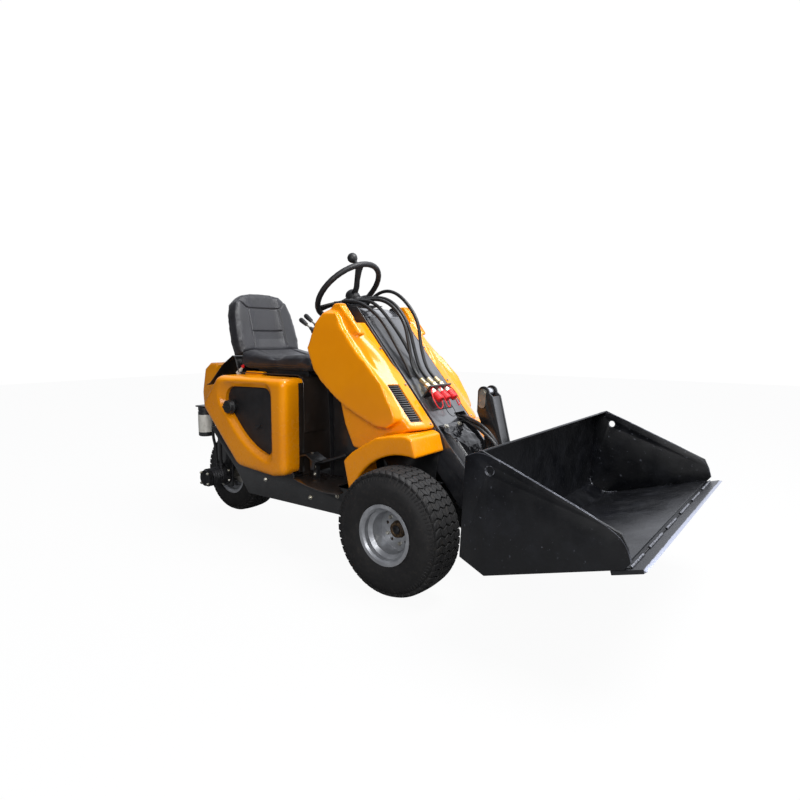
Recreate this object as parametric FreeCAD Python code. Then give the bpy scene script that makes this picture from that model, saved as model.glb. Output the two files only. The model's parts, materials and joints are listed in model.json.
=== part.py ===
import math
import os

import FreeCAD
import Part

# Three-wheeled ride-on mini loader. Units are millimetres.
# +X is forward, +Y is the driver's left, +Z is up. All sizes below are laid out from the
# ground point under the front axle; SHIFT_X then moves the whole machine so that the origin
# is the middle of its footprint.

V = FreeCAD.Vector
Y_AXIS = V(0, 1, 0)
Z_AXIS = V(0, 0, 1)

# ---------------------------------------------------------------- driving dimensions
BUCKET_WIDTH = 1200.0
WHEELBASE = 1408.0
SHIFT_X = 327.0

RIM_RADIUS = 101.6          # 8 inch bead seat
RIM_LIP_RADIUS = 119.0
RIM_HALF_WIDTH = 89.0
RIM_WALL = 3.0
FRONT_TYRE_RADIUS = 250.0
REAR_TYRE_RADIUS = 225.0
TYRE_WIDTH = 200.0
TYRE_WALL = 12.0
TRACK_HALF = 385.0          # wheel centre plane from the middle of the machine
SHAFT_REACH = 45.0          # how far a motor shaft goes into its hub
LUG_CIRCLE = 57.15          # radius of the five-stud circle
STUD_RADIUS = 6.0

FRAME_OUTER = 270.0         # outer face of the side plates
FRAME_PLATE = 8.0
FLOOR_Z = 330.0
SHEET = 4.0
FLOOR_TOP = FLOOR_Z + SHEET + 1.0    # tread of the foot plates, and the foot of what stands on them
DASH_RADIUS = 196.0         # the dash top curves about the boom pivot
BOOM_END_RADIUS = 181.0     # and the boom's end turns under it

BOOM_SLOPE = 50.0           # degrees below level at rest
BOOM_HALF = 140.0           # outer half width
BOOM_SIDE = 10.0
BOOM_DEPTH = 120.0
BOOM_PLANE_Z = 655.0        # height of the boom's top plane above the front axle
BOOM_PIVOT = (-480.0, 950.0)
HITCH_PIVOT = (287.0, 262.0)
PIN_RADIUS = 15.0
PIN_CLEARANCE = 0.05
TOWER_HALF = 118.0          # outer face of the tower plates
TOWER_PLATE = 12.0

LIFT_BASE = (-330.0, 250.0)
LIFT_EYE = (-370.7, 819.8)
LIFT_BARREL_RADIUS = 32.0
LIFT_ROD_RADIUS = 17.5
LIFT_BARREL_LENGTH = 440.0
TILT_BASE = (213.0, 306.0)
TILT_EYE = (180.0, 770.0)
TILT_BARREL_RADIUS = 24.0
TILT_PIN_HALF = 46.0
TILT_ROD_RADIUS = 12.5
TILT_BARREL_LENGTH = 320.0
CYLINDER_PIN = 10.0
PISTON_SPARE = 40.0

BUCKET_ROLL = 16.1          # degrees that the bucket is rolled back at rest
BUCKET_HEEL = (496.0, 260.0)
BUCKET_PLATE = 6.0
BUCKET_SIDE = 8.0
BUCKET_DEPTH = 500.0
BUCKET_HEIGHT = 382.0
SHACKLE_HOLE = 14.0

COWL_INNER = 152.0
COWL_OUTER = 272.0
POD_OUTER = 308.0
FENDER_OUTER = 350.0
FENDER_TOP = 631.0
# The arch leaves 35 mm round the tyre, or what the top sheet allows over a taller one.
FENDER_ARCH = min(FRONT_TYRE_RADIUS + 35.0, FENDER_TOP - 15 - FRONT_TYRE_RADIUS)
SHELL_WALL = 5.0

PANEL_OUTER = 335.0
PANEL_INNER = 205.0
SEAT_HALF = 200.0

STEER_CENTRE = (-581.0, 1215.0)
STEER_RADIUS = 185.0
STEER_TILT = 43.6           # degrees that the wheel's axis leans back from upright
FORK_LEG_INNER = 118.0
FORK_LEG = 12.0
KINGPIN_RADIUS = 25.0
TYRE_TOP_GAP = 25.0
DECK_Z = 815.0              # top of the seat pedestal
REAR_PLATE_TOP = 610.0
SHAFT_RADIUS = 18.0
SUPPORT_OUTER = 151.7
SUPPORT_PLATE = 5.0
SHELF_Z = 400.0
TANK_FLOOR = 400.0
GAP = 0.3                   # between seated pieces


HOSE_RADIUS = 8.0
HOSE_START_Z = 1160.0       # where the hoses leave the shroud beside the steering column
SHROUD_FRONT = -518.0
BOOM_OPEN_X = 30.0          # where the boom's top plate ends
BOOM_NOTCH_X = -8.0          # and where it ends beside the tilt hoses
FLAP_LEFT = 40.0            # left edge of the flap over the boom's open end
BULKHEAD_X = -72.0          # fittings inside the boom, where the tilt hoses start


# ---------------------------------------------------------------- small helpers
def vec(point, y=0.0):
    """A side-view point (x, z) at a given y."""
    return V(point[0], y, point[1])


def box(x0, x1, y0, y1, z0, z1):
    return Part.makeBox(x1 - x0, y1 - y0, z1 - z0, V(x0, y0, z0))


def prism(outline, y0, y1):
    """A side-view outline of (x, z) points, or (mid, end) pairs for arcs, pushed from y0 to y1."""
    edges = []
    here = outline[0]
    for item in list(outline[1:]) + [outline[0]]:
        if isinstance(item[0], tuple):
            mid, end = item
            edges.append(Part.Arc(vec(here, y0), vec(mid, y0), vec(end, y0)).toShape())
            here = end
        elif item != here:
            edges.append(Part.LineSegment(vec(here, y0), vec(item, y0)).toShape())
            here = item
    return Part.Face(Part.Wire(edges)).extrude(V(0, y1 - y0, 0))


def both_sides(solid):
    """The solid and its mirror image across the middle of the machine."""
    return Part.makeCompound([solid, mirrored(solid)])


def mirrored(solid):
    return solid.mirror(V(0, 0, 0), Y_AXIS)


def cross_bar(point, y0, y1, radius):
    return Part.makeCylinder(radius, y1 - y0, vec(point, y0), Y_AXIS)


def bar_between(start, end, radius, y=0.0):
    """A round bar between two side-view points."""
    a = vec(start, y)
    b = vec(end, y)
    return Part.makeCylinder(radius, (b - a).Length, a, b - a)


def unit(start, end):
    dx = end[0] - start[0]
    dz = end[1] - start[1]
    length = math.hypot(dx, dz)
    return dx / length, dz / length


def along(start, end, distance):
    """The side-view point at a distance from start towards end."""
    dx, dz = unit(start, end)
    return start[0] + dx * distance, start[1] + dz * distance


def strip(path, thickness):
    """Outline of a bent sheet: the path, and the path moved to its left by the thickness."""
    moved = []
    for i, point in enumerate(path):
        before = unit(path[i - 1], point) if i else unit(point, path[i + 1])
        after = unit(point, path[i + 1]) if i + 1 < len(path) else before
        nx = -(before[1] + after[1])
        nz = before[0] + after[0]
        scale = thickness / (nx * -before[1] + nz * before[0])
        moved.append((point[0] + nx * scale, point[1] + nz * scale))
    return list(path) + moved[::-1]


def sheet(path, thickness, y0, y1):
    return prism(strip(path, thickness), y0, y1)


def turned(point, centre, degrees):
    """A side-view point turned nose-up about a centre."""
    a = math.radians(degrees)
    dx = point[0] - centre[0]
    dz = point[1] - centre[1]
    return (centre[0] + dx * math.cos(a) - dz * math.sin(a),
            centre[1] + dx * math.sin(a) + dz * math.cos(a))


def hub_slab(points, radius):
    """Outline of a link: a rounded end of the given radius about each of two points."""
    (ax, az), (bx, bz) = points
    ux, uz = unit((ax, az), (bx, bz))
    nx, nz = -uz * radius, ux * radius
    return [(ax + nx, az + nz), ((ax - ux * radius, az - uz * radius), (ax - nx, az - nz)),
            (bx - nx, bz - nz), ((bx + ux * radius, bz + uz * radius), (bx + nx, bz + nz))]


def ring(profile, centre):
    """A closed (y, radius) outline revolved about the cross-wise axis through centre."""
    cx, cz = centre
    edges = []
    here = profile[0]

    def place(p):
        return V(cx, p[0], cz + p[1])

    for item in list(profile[1:]) + [profile[0]]:
        if isinstance(item[0], tuple):
            mid, end = item
            edges.append(Part.Arc(place(here), place(mid), place(end)).toShape())
            here = end
        elif item != here:
            edges.append(Part.LineSegment(place(here), place(item)).toShape())
            here = item
    face = Part.Face(Part.Wire(edges))
    return face.revolve(V(cx, 0, cz), Y_AXIS, 360)


def tube_route(points, radius):
    """A round hose: straight runs joined by tangent arcs, each as large as its two runs allow."""
    pts = [V(*p) for p in points]
    edges = []
    radii = []
    here = pts[0]
    for i in range(1, len(pts) - 1):
        a = (pts[i - 1] - pts[i])
        b = (pts[i + 1] - pts[i])
        short = min(a.Length, b.Length)
        turn = math.pi - a.getAngle(b)
        setback = 0.45 * short
        bend = setback / math.tan(turn / 2)
        radii.append(bend)
        a.normalize()
        b.normalize()
        start = pts[i] + a * setback
        end = pts[i] + b * setback
        middle = (a + b).normalize()
        mid = pts[i] + middle * (bend / math.cos(turn / 2) - bend)
        edges.append(Part.LineSegment(here, start).toShape())
        edges.append(Part.Arc(start, mid, end).toShape())
        here = end
    edges.append(Part.LineSegment(here, pts[-1]).toShape())
    path = Part.Wire(edges)
    first = pts[1] - pts[0]
    section = Part.Wire([Part.makeCircle(radius, pts[0], first)])
    solid = path.makePipeShell([section], True, True)
    ideal = math.pi * radius ** 2 * path.Length
    return solid, path.Length, min(radii), solid.Volume / ideal


nodes = {}


def about_pivot(degrees, radius):
    """A side-view point at an angle and a distance from the boom's pivot."""
    a = math.radians(degrees)
    return BOOM_PIVOT[0] + radius * math.cos(a), BOOM_PIVOT[1] + radius * math.sin(a)


def boom_point(x, below=0.0):
    """A side-view point on the boom's top plane above axle-frame x, then down into the beam."""
    a = math.radians(BOOM_SLOPE)
    z = BOOM_PLANE_Z - math.tan(a) * x
    return x - math.sin(a) * below, z - math.cos(a) * below


# ---------------------------------------------------------------- wheels
def tyre(centre, radius, y):
    """A turf tyre: flat crown, round shoulders and bulged walls down to the beads."""
    half = TYRE_WIDTH / 2
    seat = RIM_RADIUS + 0.4
    mid = (seat + radius) / 2 - 4
    outer = [(y - 80, seat), (y - 84, seat + 6.5), (y - 85, RIM_LIP_RADIUS + 2), (y - half, mid),
             (y - half + 12, radius - 34), ((y - half + 24, radius - 12), (y - half + 52, radius)),
             (y + half - 52, radius), ((y + half - 24, radius - 12), (y + half - 12, radius - 34)),
             (y + half, mid), (y + 85, RIM_LIP_RADIUS + 2), (y + 84, seat + 6.5), (y + 80, seat)]
    wall = TYRE_WALL
    inner = [(y + 80 - wall, seat), (y + half - wall - 2, mid), (y + half - 12 - wall, radius - 40),
             (y + half - 56, radius - wall), (y - half + 56, radius - wall),
             (y - half + 12 + wall, radius - 40), (y - half + wall + 2, mid), (y - 80 + wall, seat)]
    return ring(outer + inner, centre)


def rim(centre, y, disc_y, bore):
    """A steel rim: lips, bead seats and drop centre, with a pressed disc at disc_y."""
    h = RIM_HALF_WIDTH
    r = RIM_RADIUS
    w = RIM_WALL
    lip = RIM_LIP_RADIUS
    outer = [(-h, lip), (-h + w, lip), (-h + w + 1, r + 6), (-h + 8, r), (-h + 30, r), (-h + 42, r - 14),
             (h - 42, r - 14), (h - 30, r), (h - 8, r), (h - w - 1, r + 6), (h - w, lip), (h, lip)]
    inner = [(h, r + 4), (h - 8, r - w), (h - 29, r - w), (h - 41, r - 14 - w),
             (-h + 41, r - 14 - w), (-h + 29, r - w), (-h + 8, r - w), (-h, r + 4)]
    barrel = ring([(y + a, b) for a, b in outer + inner], centre)
    disc_r = r - 14 - w
    disc = ring([(disc_y - 2.5, bore), (disc_y - 2.5, disc_r), (disc_y + 2.5, disc_r), (disc_y + 2.5, bore)],
                centre)
    for i in range(5):
        a = math.radians(90 + 72 * i)
        at = (centre[0] + LUG_CIRCLE * math.cos(a), centre[1] + LUG_CIRCLE * math.sin(a))
        disc = disc.cut(cross_bar(at, disc_y - 10, disc_y + 10, STUD_RADIUS + 1.0))
    return barrel.fuse(disc).removeSplitter()


def hub(centre, y0, face_y, nose_y, bore):
    """A wheel hub: a barrel with a socket for the motor's shaft, and a flange with five studs."""
    toward = 1 if nose_y > y0 else -1
    barrel = cross_bar(centre, min(y0, nose_y), max(y0, nose_y), bore - 0.5)
    flange = cross_bar(centre, min(face_y, face_y - 10 * toward), max(face_y, face_y - 10 * toward), 72.0)
    solid = barrel.fuse(flange)
    for i in range(5):
        a = math.radians(90 + 72 * i)
        at = (centre[0] + LUG_CIRCLE * math.cos(a), centre[1] + LUG_CIRCLE * math.sin(a))
        ends = sorted((face_y - 4 * toward, face_y + 22 * toward))
        solid = solid.fuse(cross_bar(at, ends[0], ends[1], STUD_RADIUS))
    ends = sorted((y0 - 5 * toward, y0 + (SHAFT_REACH + 2) * toward))
    return solid.cut(cross_bar(centre, ends[0], ends[1], SHAFT_RADIUS + PIN_CLEARANCE)).removeSplitter()


AXLE = (0.0, FRONT_TYRE_RADIUS)
REAR_AXLE = (-WHEELBASE, REAR_TYRE_RADIUS)
HUB_BORE = 33.0
DISC_Y = TRACK_HALF - 12.0
HUB_FACE = DISC_Y - 3.0
MOTOR_INNER = 150.0          # the boom swings between the two motors
HUB_START = FRAME_OUTER + 18.0

nodes["front_tyre_left"] = tyre(AXLE, FRONT_TYRE_RADIUS, TRACK_HALF)
nodes["front_rim_left"] = rim(AXLE, TRACK_HALF, DISC_Y, HUB_BORE)
nodes["front_hub_left"] = hub(AXLE, HUB_START, HUB_FACE, DISC_Y + 26, HUB_BORE)
for name in ("tyre", "rim", "hub"):
    nodes["front_%s_right" % name] = mirrored(nodes["front_%s_left" % name])


def front_motor():
    """Wheel motor bolted through the frame plate, with its shaft inside the hub."""
    body = cross_bar(AXLE, MOTOR_INNER, FRAME_OUTER + 14, 52.0)
    flange = box(-65, 65, FRAME_OUTER, FRAME_OUTER + 12, AXLE[1] - 55, AXLE[1] + 55)
    shaft = cross_bar(AXLE, FRAME_OUTER + 14, HUB_START + SHAFT_REACH, SHAFT_RADIUS)
    return body.fuse([flange, shaft]).removeSplitter()


nodes["front_wheel_motors"] = both_sides(front_motor())

nodes["rear_tyre"] = tyre(REAR_AXLE, REAR_TYRE_RADIUS, 0.0)
REAR_DISC_Y = -12.0
nodes["rear_rim"] = rim(REAR_AXLE, 0.0, REAR_DISC_Y, HUB_BORE)
REAR_HUB_START = -FORK_LEG_INNER + 5.5
nodes["rear_hub"] = hub(REAR_AXLE, REAR_HUB_START, REAR_DISC_Y - 3.0, REAR_DISC_Y + 26, HUB_BORE)


# ---------------------------------------------------------------- chassis
def side_plate():
    outer = [(-1330, 520), (-1304, 492), (-1130, 320), (-1033, 205), (-150, 205), (-95, 160), (95, 160),
             (118, 185), (118, SHELF_Z), (-190, SHELF_Z), (-240, FLOOR_Z), (-700, FLOOR_Z),
             (-715, TANK_FLOOR), (-1175, TANK_FLOOR), (-1215, 520)]
    plate = prism(outer, FRAME_OUTER - FRAME_PLATE, FRAME_OUTER)
    return plate.cut(cross_bar(AXLE, 0, 400, 52.0 + GAP))


def cross_z(at, z0, z1, radius):
    return Part.makeCylinder(radius, z1 - z0, V(at[0], at[1], z0), Z_AXIS)


def frame():
    """Two side plates tied by a belly plate and cross plates, a shelf under each fender, and the
    bracket at the rear that holds the steering head."""
    inner = FRAME_OUTER - FRAME_PLATE
    left = side_plate()
    shelf = box(-190, 60, SUPPORT_OUTER - SUPPORT_PLATE, inner, SHELF_Z - 6, SHELF_Z)
    parts = [
        mirrored(left), shelf, mirrored(shelf),
        box(-1033, -100, -inner, inner, 205, 213),
        box(-108, -100, -inner, inner, 213, 300),
        box(-735, -727, -inner, inner, 213, TANK_FLOOR),
        box(-1138, -1130, -inner, inner, 320, 520),
        box(-1330, -1138, -inner, inner, 512, 520),
        box(-1480, -1330, -95, 95, 512, 520),
        box(-1480, -1200, -95, -87, 520, REAR_PLATE_TOP - 8),
        box(-1480, -1200, 87, 95, 520, REAR_PLATE_TOP - 8),
        box(-1565, -1200, -200, 135, REAR_PLATE_TOP - 8, REAR_PLATE_TOP),
        cross_z((-WHEELBASE, 0), 505, REAR_PLATE_TOP, 45.0),
    ]
    bore = cross_z((-WHEELBASE, 0), 480, 640, KINGPIN_RADIUS + PIN_CLEARANCE)
    return left.fuse(parts).cut(bore).removeSplitter()


nodes["frame"] = frame()


def tower():
    """Two plates that carry the boom pin, tied by a rear wall and the lift cylinder's base lugs."""
    px, pz = BOOM_PIVOT
    outline = [(px - 100, 213), (px + 230, 213), (px + 60, 420), (px + 45, pz - 60), (px + 40, pz),
               ((px, pz + 40), (px - 40, pz)), (px - 100, pz - 150)]
    plate = prism(outline, TOWER_HALF - TOWER_PLATE, TOWER_HALF)
    plate = plate.cut(cross_bar(BOOM_PIVOT, 0, 300, PIN_RADIUS + PIN_CLEARANCE))
    inner = TOWER_HALF - TOWER_PLATE
    wall = box(px - 100, px - 92, -inner, inner, 213, pz - 150)
    lug = prism(hub_slab((LIFT_BASE, (LIFT_BASE[0], 226)), 26.0), 22, 34)
    lug = lug.common(box(-500, 0, 0, 100, 213, 400))
    tie = box(LIFT_BASE[0] - 60, LIFT_BASE[0] + 60, -inner, inner, 213, 218)
    lug = lug.cut(cross_bar(LIFT_BASE, 0, 100, CYLINDER_PIN + PIN_CLEARANCE))
    brace = box(px + 10, px + 22, -inner, inner, 420, 500)
    return plate.fuse([mirrored(plate), wall, tie, lug, mirrored(lug), brace]).removeSplitter()


nodes["tower"] = tower()


def floor_plate():
    """Foot plate at one side: its outer edge bulges past the frame and is cut back at the tyre."""
    edge = [V(-699, 279, FLOOR_Z), V(-560, 337, FLOOR_Z), V(-392, 378, FLOOR_Z)]
    arc = Part.Arc(*edge).toShape()
    points = [V(-392, 378, FLOOR_Z), V(-329, 370, FLOOR_Z), V(-329, 330, FLOOR_Z), V(-421, 262, FLOOR_Z),
              V(-421, TOWER_HALF + 3, FLOOR_Z), V(-699, TOWER_HALF + 3, FLOOR_Z), V(-699, 279, FLOOR_Z)]
    edges = [arc] + [Part.LineSegment(a, b).toShape() for a, b in zip(points, points[1:])]
    return Part.Face(Part.Wire(edges)).extrude(V(0, 0, FLOOR_TOP - FLOOR_Z))


nodes["floor_plates"] = both_sides(floor_plate())
nodes["engine"] = box(-1115, -800, -180, 180, 300, 690).fuse(
    box(-1080, -820, -150, 150, 213, 300)).removeSplitter()


def tank(y0, y1):
    floor = TANK_FLOOR + GAP
    outline = [(-1165, 775), (-1180, 640), (-1030, 480), (-905, floor), (-790, floor), (-790, 775)]
    return prism(outline, y0, y1)


TANK_FACE = PANEL_OUTER - 42.0
CAP_AT = (-1105.0, 648.0)
fuel = tank(-TANK_FACE, -PANEL_INNER + 2)
fuel = fuel.fuse(cross_bar(CAP_AT, -TANK_FACE - 26, -TANK_FACE, 33.0)).removeSplitter()
nodes["fuel_tank"] = fuel
nodes["oil_tank"] = tank(PANEL_INNER - 2, TANK_FACE)


# ---------------------------------------------------------------- rear body
PANEL_OUTLINE = [(-1190, 803), (-1325, 660), (-1316, 626), (-1060, 368), (-1020, 343), (-790, 333),
                 (-735, 345), (-695, 375), (-690, 780), (-715, 803)]
WINDOW = [(-805, 735), (-825, 755), (-1110, 749), (-1148, 700), (-1148, 645), (-1010, 518), (-915, 455),
          (-832, 428), (-805, 450)]


def grown(outline, distance):
    """The outline moved outwards (or inwards, when negative) by a distance."""
    wire = Part.makePolygon([vec(p) for p in outline] + [vec(outline[0])])
    return wire.makeOffset2D(distance, 2)


def wire_prism(wire, y0, y1):
    solid = Part.Face(wire).extrude(V(0, y1 - y0, 0))
    solid.translate(V(0, y0, 0))
    return solid


def rear_panel():
    """A moulded side cover: an outer face with a flared window, and a rim that turns inwards."""
    outer = prism(PANEL_OUTLINE, PANEL_INNER, PANEL_OUTER)
    front_edges = [e for e in outer.Edges
                   if abs(e.BoundBox.YMin - PANEL_OUTER) < 1 and abs(e.BoundBox.YMax - PANEL_OUTER) < 1]
    outer = outer.makeFillet(34.0, front_edges)
    hollow = wire_prism(grown(PANEL_OUTLINE, -SHELL_WALL), PANEL_INNER - 10, PANEL_OUTER - 34)
    face_hollow = wire_prism(grown(PANEL_OUTLINE, -34.0), PANEL_INNER - 10, PANEL_OUTER - SHELL_WALL)
    window = prism(WINDOW, PANEL_INNER - 20, PANEL_OUTER + 20)
    beside_frame = box(-1400, -703, PANEL_INNER - 20, FRAME_OUTER + GAP, 300, 560)
    return outer.cut(hollow).cut(face_hollow).cut(window).cut(beside_frame)


left_panel = rear_panel()
nodes["rear_panel_left"] = left_panel
nodes["rear_panel_right"] = mirrored(left_panel)

PEDESTAL_HALF = PANEL_INNER - GAP
pedestal_path = [(-690, 540), (-690, 775), (-700, 800), (-725, DECK_Z), (-1168, DECK_Z)]
pedestal = sheet(pedestal_path, SHEET, -PEDESTAL_HALF, PEDESTAL_HALF)
lower_box = box(-719, -700, -PEDESTAL_HALF, PEDESTAL_HALF, FLOOR_TOP, 560)
nodes["seat_pedestal"] = pedestal.fuse([lower_box, box(-705, -690, -PEDESTAL_HALF, PEDESTAL_HALF, 540, 548)
                                        ]).removeSplitter()
hood_path = [(-1168, DECK_Z - 2), (-1196, 893), (-1216, 899), (-1300, 850), (-1418, 744), (-1445.7, 735)]
nodes["rear_hood"] = sheet(hood_path, SHEET, -PEDESTAL_HALF, PEDESTAL_HALF)
TAIL_OUTLINE = [(-1446, REAR_PLATE_TOP), (-1446, 838), (-1458, 850), (-1510, 850), (-1560, 815),
                (-1582, 720), (-1572, REAR_PLATE_TOP)]


def tail_cover():
    """A small moulded box behind the hood, open below where it stands on the frame."""
    half = 135.0
    outer = prism(TAIL_OUTLINE, -half, half)
    top_edges = [e for e in outer.Edges if e.BoundBox.ZMin > 700 and e.BoundBox.YMax - e.BoundBox.YMin < 1]
    outer = outer.makeFillet(18.0, top_edges)
    hollow = wire_prism(grown(TAIL_OUTLINE, -SHEET), -half + 18, half - 18)
    below = box(-1600, -1400, -200, 200, REAR_PLATE_TOP - 20, REAR_PLATE_TOP + SHEET + 1)
    keep = box(-1600, -1400, -200, 200, REAR_PLATE_TOP + GAP, 900)
    return outer.cut(hollow).common(keep)


nodes["tail_cover"] = tail_cover()


# ---------------------------------------------------------------- seat
def seat_base():
    """Rails under the cushion, the seat pan, and the strap that rises behind to hold the backrest."""
    rail = box(-1080, -700, 100, 130, DECK_Z, 831)
    pan = sheet([(-690, 831), (-1138, 831), (-1162, 846), (-1168, 915), (-1176, 921), (-1210, 921)], -5,
                -150, 150)
    return pan.fuse([rail, mirrored(rail)]).removeSplitter()


nodes["seat_base"] = seat_base()
cushion_outline = [(-1120, 836.3), (-640, 836.3), (-625, 850), (-625, 890), (-660, 915), (-1000, 905),
                   (-1115, 925), (-1148, 915), (-1148, 850)]
nodes["seat_cushion"] = prism(cushion_outline, -SEAT_HALF - 15, SEAT_HALF + 15)
back_outline = [(-1120, 938), (-1158, 926.3), (-1215, 926.3), (-1300, 1190), (-1290, 1225), (-1262, 1235),
                (-1225, 1215)]
nodes["seat_back"] = prism(back_outline, -SEAT_HALF, SEAT_HALF)


# ---------------------------------------------------------------- dash and controls
KNEE_PATH = [(-488, 1090), (-541, 950), (-490, 815), (-399, 743), (-368, 622), (-322, 532)]


def dash():
    """Black panel between the cowls: a top behind the boom, and the rear wall down to the floor."""
    arc = [about_pivot(a, DASH_RADIUS) for a in (88, 123, 158)]
    back = [arc[2], (-622, 900), (-600, 560), (-600, FLOOR_TOP)]
    inside = [about_pivot(a, DASH_RADIUS - SHEET) for a in (158, 123, 88)]
    outline = [arc[0], (arc[1], arc[2])] + back[1:] + [(p[0] + SHEET, p[1]) for p in back[:0:-1]]
    top = prism(outline + [inside[0], (inside[1], inside[2])], -125, 125)
    wing = sheet(KNEE_PATH, SHEET, SUPPORT_OUTER + GAP, COWL_OUTER - SHELL_WALL - GAP)
    return top.fuse([wing, mirrored(wing)]).removeSplitter()


nodes["dash_panel"] = dash()
lean = math.radians(STEER_TILT)
COLUMN_DIR = (math.sin(lean), -math.cos(lean))


def column_point(distance):
    return (STEER_CENTRE[0] + COLUMN_DIR[0] * distance, STEER_CENTRE[1] + COLUMN_DIR[1] * distance)


STEERING_SHAFT = 9.0


def steering_column():
    """A short housing on the dash's curved top, with the shaft that carries the wheel."""
    housing = bar_between(column_point(36), column_point(140), 28.0)
    inside = cross_bar(BOOM_PIVOT, -200, 200, DASH_RADIUS + GAP)
    sides = [box(SHROUD_FRONT - 45, SHROUD_FRONT, y0, y1, 1050, HOSE_START_Z + 16)
             for y0, y1 in ((-125, -38), (38, 72))]
    housing = housing.fuse(sides + [box(SHROUD_FRONT - 30, SHROUD_FRONT - 8, -60, 60, 1050, 1158)])
    return housing.cut(inside).fuse(bar_between(column_point(4), column_point(50), STEERING_SHAFT))


nodes["steering_column"] = steering_column().removeSplitter()


def steering_wheel():
    """Rim, three spokes, a domed boss with a socket for the shaft, and the spinner knob."""
    centre = vec(STEER_CENTRE)
    axis = vec(COLUMN_DIR)
    torus = Part.makeTorus(STEER_RADIUS - 14, 14, centre, axis)
    boss = Part.makeCylinder(34, 54, vec(column_point(-22)), axis)
    wheel = torus.fuse(boss)
    side = V(0, 1, 0)
    up = axis.cross(side)
    for i in range(3):
        a = math.radians(108 + 120 * i)
        toward = up * math.sin(a) + side * math.cos(a)
        wheel = wheel.fuse(Part.makeCylinder(9, STEER_RADIUS - 18, centre, toward))
    a = math.radians(112)
    toward = up * math.sin(a) + side * math.cos(a)
    foot = centre + toward * (STEER_RADIUS - 14)
    wheel = wheel.fuse(Part.makeCylinder(8, 40, foot, axis * -1))
    wheel = wheel.fuse(Part.makeSphere(21, foot - axis * 52, axis * -1))
    socket = bar_between(column_point(3), column_point(60), STEERING_SHAFT + PIN_CLEARANCE)
    return wheel.cut(socket).removeSplitter()


nodes["steering_wheel"] = steering_wheel()


def lever(x, y, z, lean_x, length):
    foot = V(x, y, z)
    toward = V(-lean_x, -0.15, 1).normalize()
    shaft = Part.makeCylinder(5, length, foot, toward)
    grip = Part.makeCone(9, 14, 45, foot + toward * (length - 20), toward)
    return shaft.fuse(grip).removeSplitter()


def controls():
    """Two valve levers in a boot at the right of the dash, and the drive pedal on its bracket."""
    boot = Part.makeCone(30, 19, 110, V(-527, -195, 988), V(-0.936, 0, 0.354))
    levers = [lever(-632, -208, 1016, 0.9, 85), lever(-632, -182, 1016, 0.35, 85)]
    base = boot.fuse(levers).removeSplitter()
    post = box(-625, -600, -215, -195, FLOOR_TOP, 405)
    pad = sheet([(-684, 436), (-640, 447), (-575, 418)], -7, -245, -165)
    arm = Part.makeCylinder(9, 150, V(-612, -205, 398), V(1, 0.35, 0.32))
    pedal = post.fuse([pad, arm, box(-620, -605, -215, -195, 400, 442)]).removeSplitter()
    return Part.makeCompound([base, pedal])


nodes["controls"] = controls()


# ---------------------------------------------------------------- front cowls and fenders
COWL_OUTLINE = [(-398, 1133), (-440, 1136), (-490, 1095), (-545, 950), (-493, 812), (-402, 740),
                (-371, 620), (-324, 527), (-267, 527), (-138, 602), (10, 637)]
POD_OUTLINE = [(-400, 1097), (-481, 1097), (-520, 1055), (-560, 947), (-523, 850), (-407, 746), (-282, 674),
               (-179, 633), (-117, 630), (-86, 648), (-78, 672), (-146, 807), (-290, 942)]


def cowl():
    """A moulded shell: an inner body beside the boom and a pod that stands out from its flank."""
    body = prism(COWL_OUTLINE, COWL_INNER, COWL_OUTER)
    pod = prism(POD_OUTLINE, COWL_OUTER - 40, POD_OUTER)
    body_hollow = wire_prism(grown(COWL_OUTLINE, -SHELL_WALL), COWL_INNER - 10, COWL_OUTER - SHELL_WALL)
    pod_hollow = wire_prism(grown(POD_OUTLINE, -SHELL_WALL), COWL_INNER, POD_OUTER - SHELL_WALL)
    shell = body.fuse(pod).cut(body_hollow).cut(pod_hollow)
    opening = [(x + SHEET + 1 + GAP, z) for x, z in KNEE_PATH]
    back = prism(opening + [(-320, 500), (-620, 500), (-620, 1090)], COWL_INNER - 10, COWL_OUTER - SHELL_WALL)
    return shell.cut(back)


left_cowl = cowl()
nodes["cowl_left"] = left_cowl
nodes["cowl_right"] = mirrored(left_cowl)


def fender():
    """Mudguard over the rear of the front wheel: a top sheet, an outer skirt and a front face."""
    cx, cz = AXLE
    arch = FENDER_ARCH

    def on_arch(degrees, radius):
        a = math.radians(degrees)
        return cx + radius * math.cos(a), cz + radius * math.sin(a)

    foot_z = max(541.0, on_arch(79, arch)[1] + 10)
    outline = [on_arch(163, arch + 5), (-309, 480), (-267, 521), (-138, 596), (14, FENDER_TOP), (42, FENDER_TOP - 3),
               (54, foot_z), on_arch(79, arch), (on_arch(121, arch), on_arch(163, arch))]
    block = prism(outline, COWL_INNER, FENDER_OUTER)
    hollow_outline = [on_arch(170, arch - 20), on_arch(163, arch + 2), (-302, 477), (-264, 515), (-136, 590),
                      (14, FENDER_TOP - 6), (36, FENDER_TOP - 9), (47, min(foot_z, FENDER_TOP - 16)),
                      on_arch(79, arch - 20),
                      (on_arch(121, arch - 20), on_arch(170, arch - 20))]
    hollow = prism(hollow_outline, COWL_INNER - 10, FENDER_OUTER - SHELL_WALL)
    return block.cut(hollow)


nodes["fenders"] = both_sides(fender())


def cowl_support():
    """Inner plate beside the boom: it stands on the frame's shelf and carries cowl and fender."""
    y0 = SUPPORT_OUTER - SUPPORT_PLATE
    upper = wire_prism(grown(COWL_OUTLINE, -1.5), y0, SUPPORT_OUTER)
    lower = prism([(-300, 505), (-186, SHELF_Z), (20, SHELF_Z), (44, 541), (20, 625), (-130, 596),
                   (-265, 519)], y0, SUPPORT_OUTER)
    link = box(-290, -150, y0, SUPPORT_OUTER, 500, 560)
    return upper.fuse([lower, link]).removeSplitter()


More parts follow.
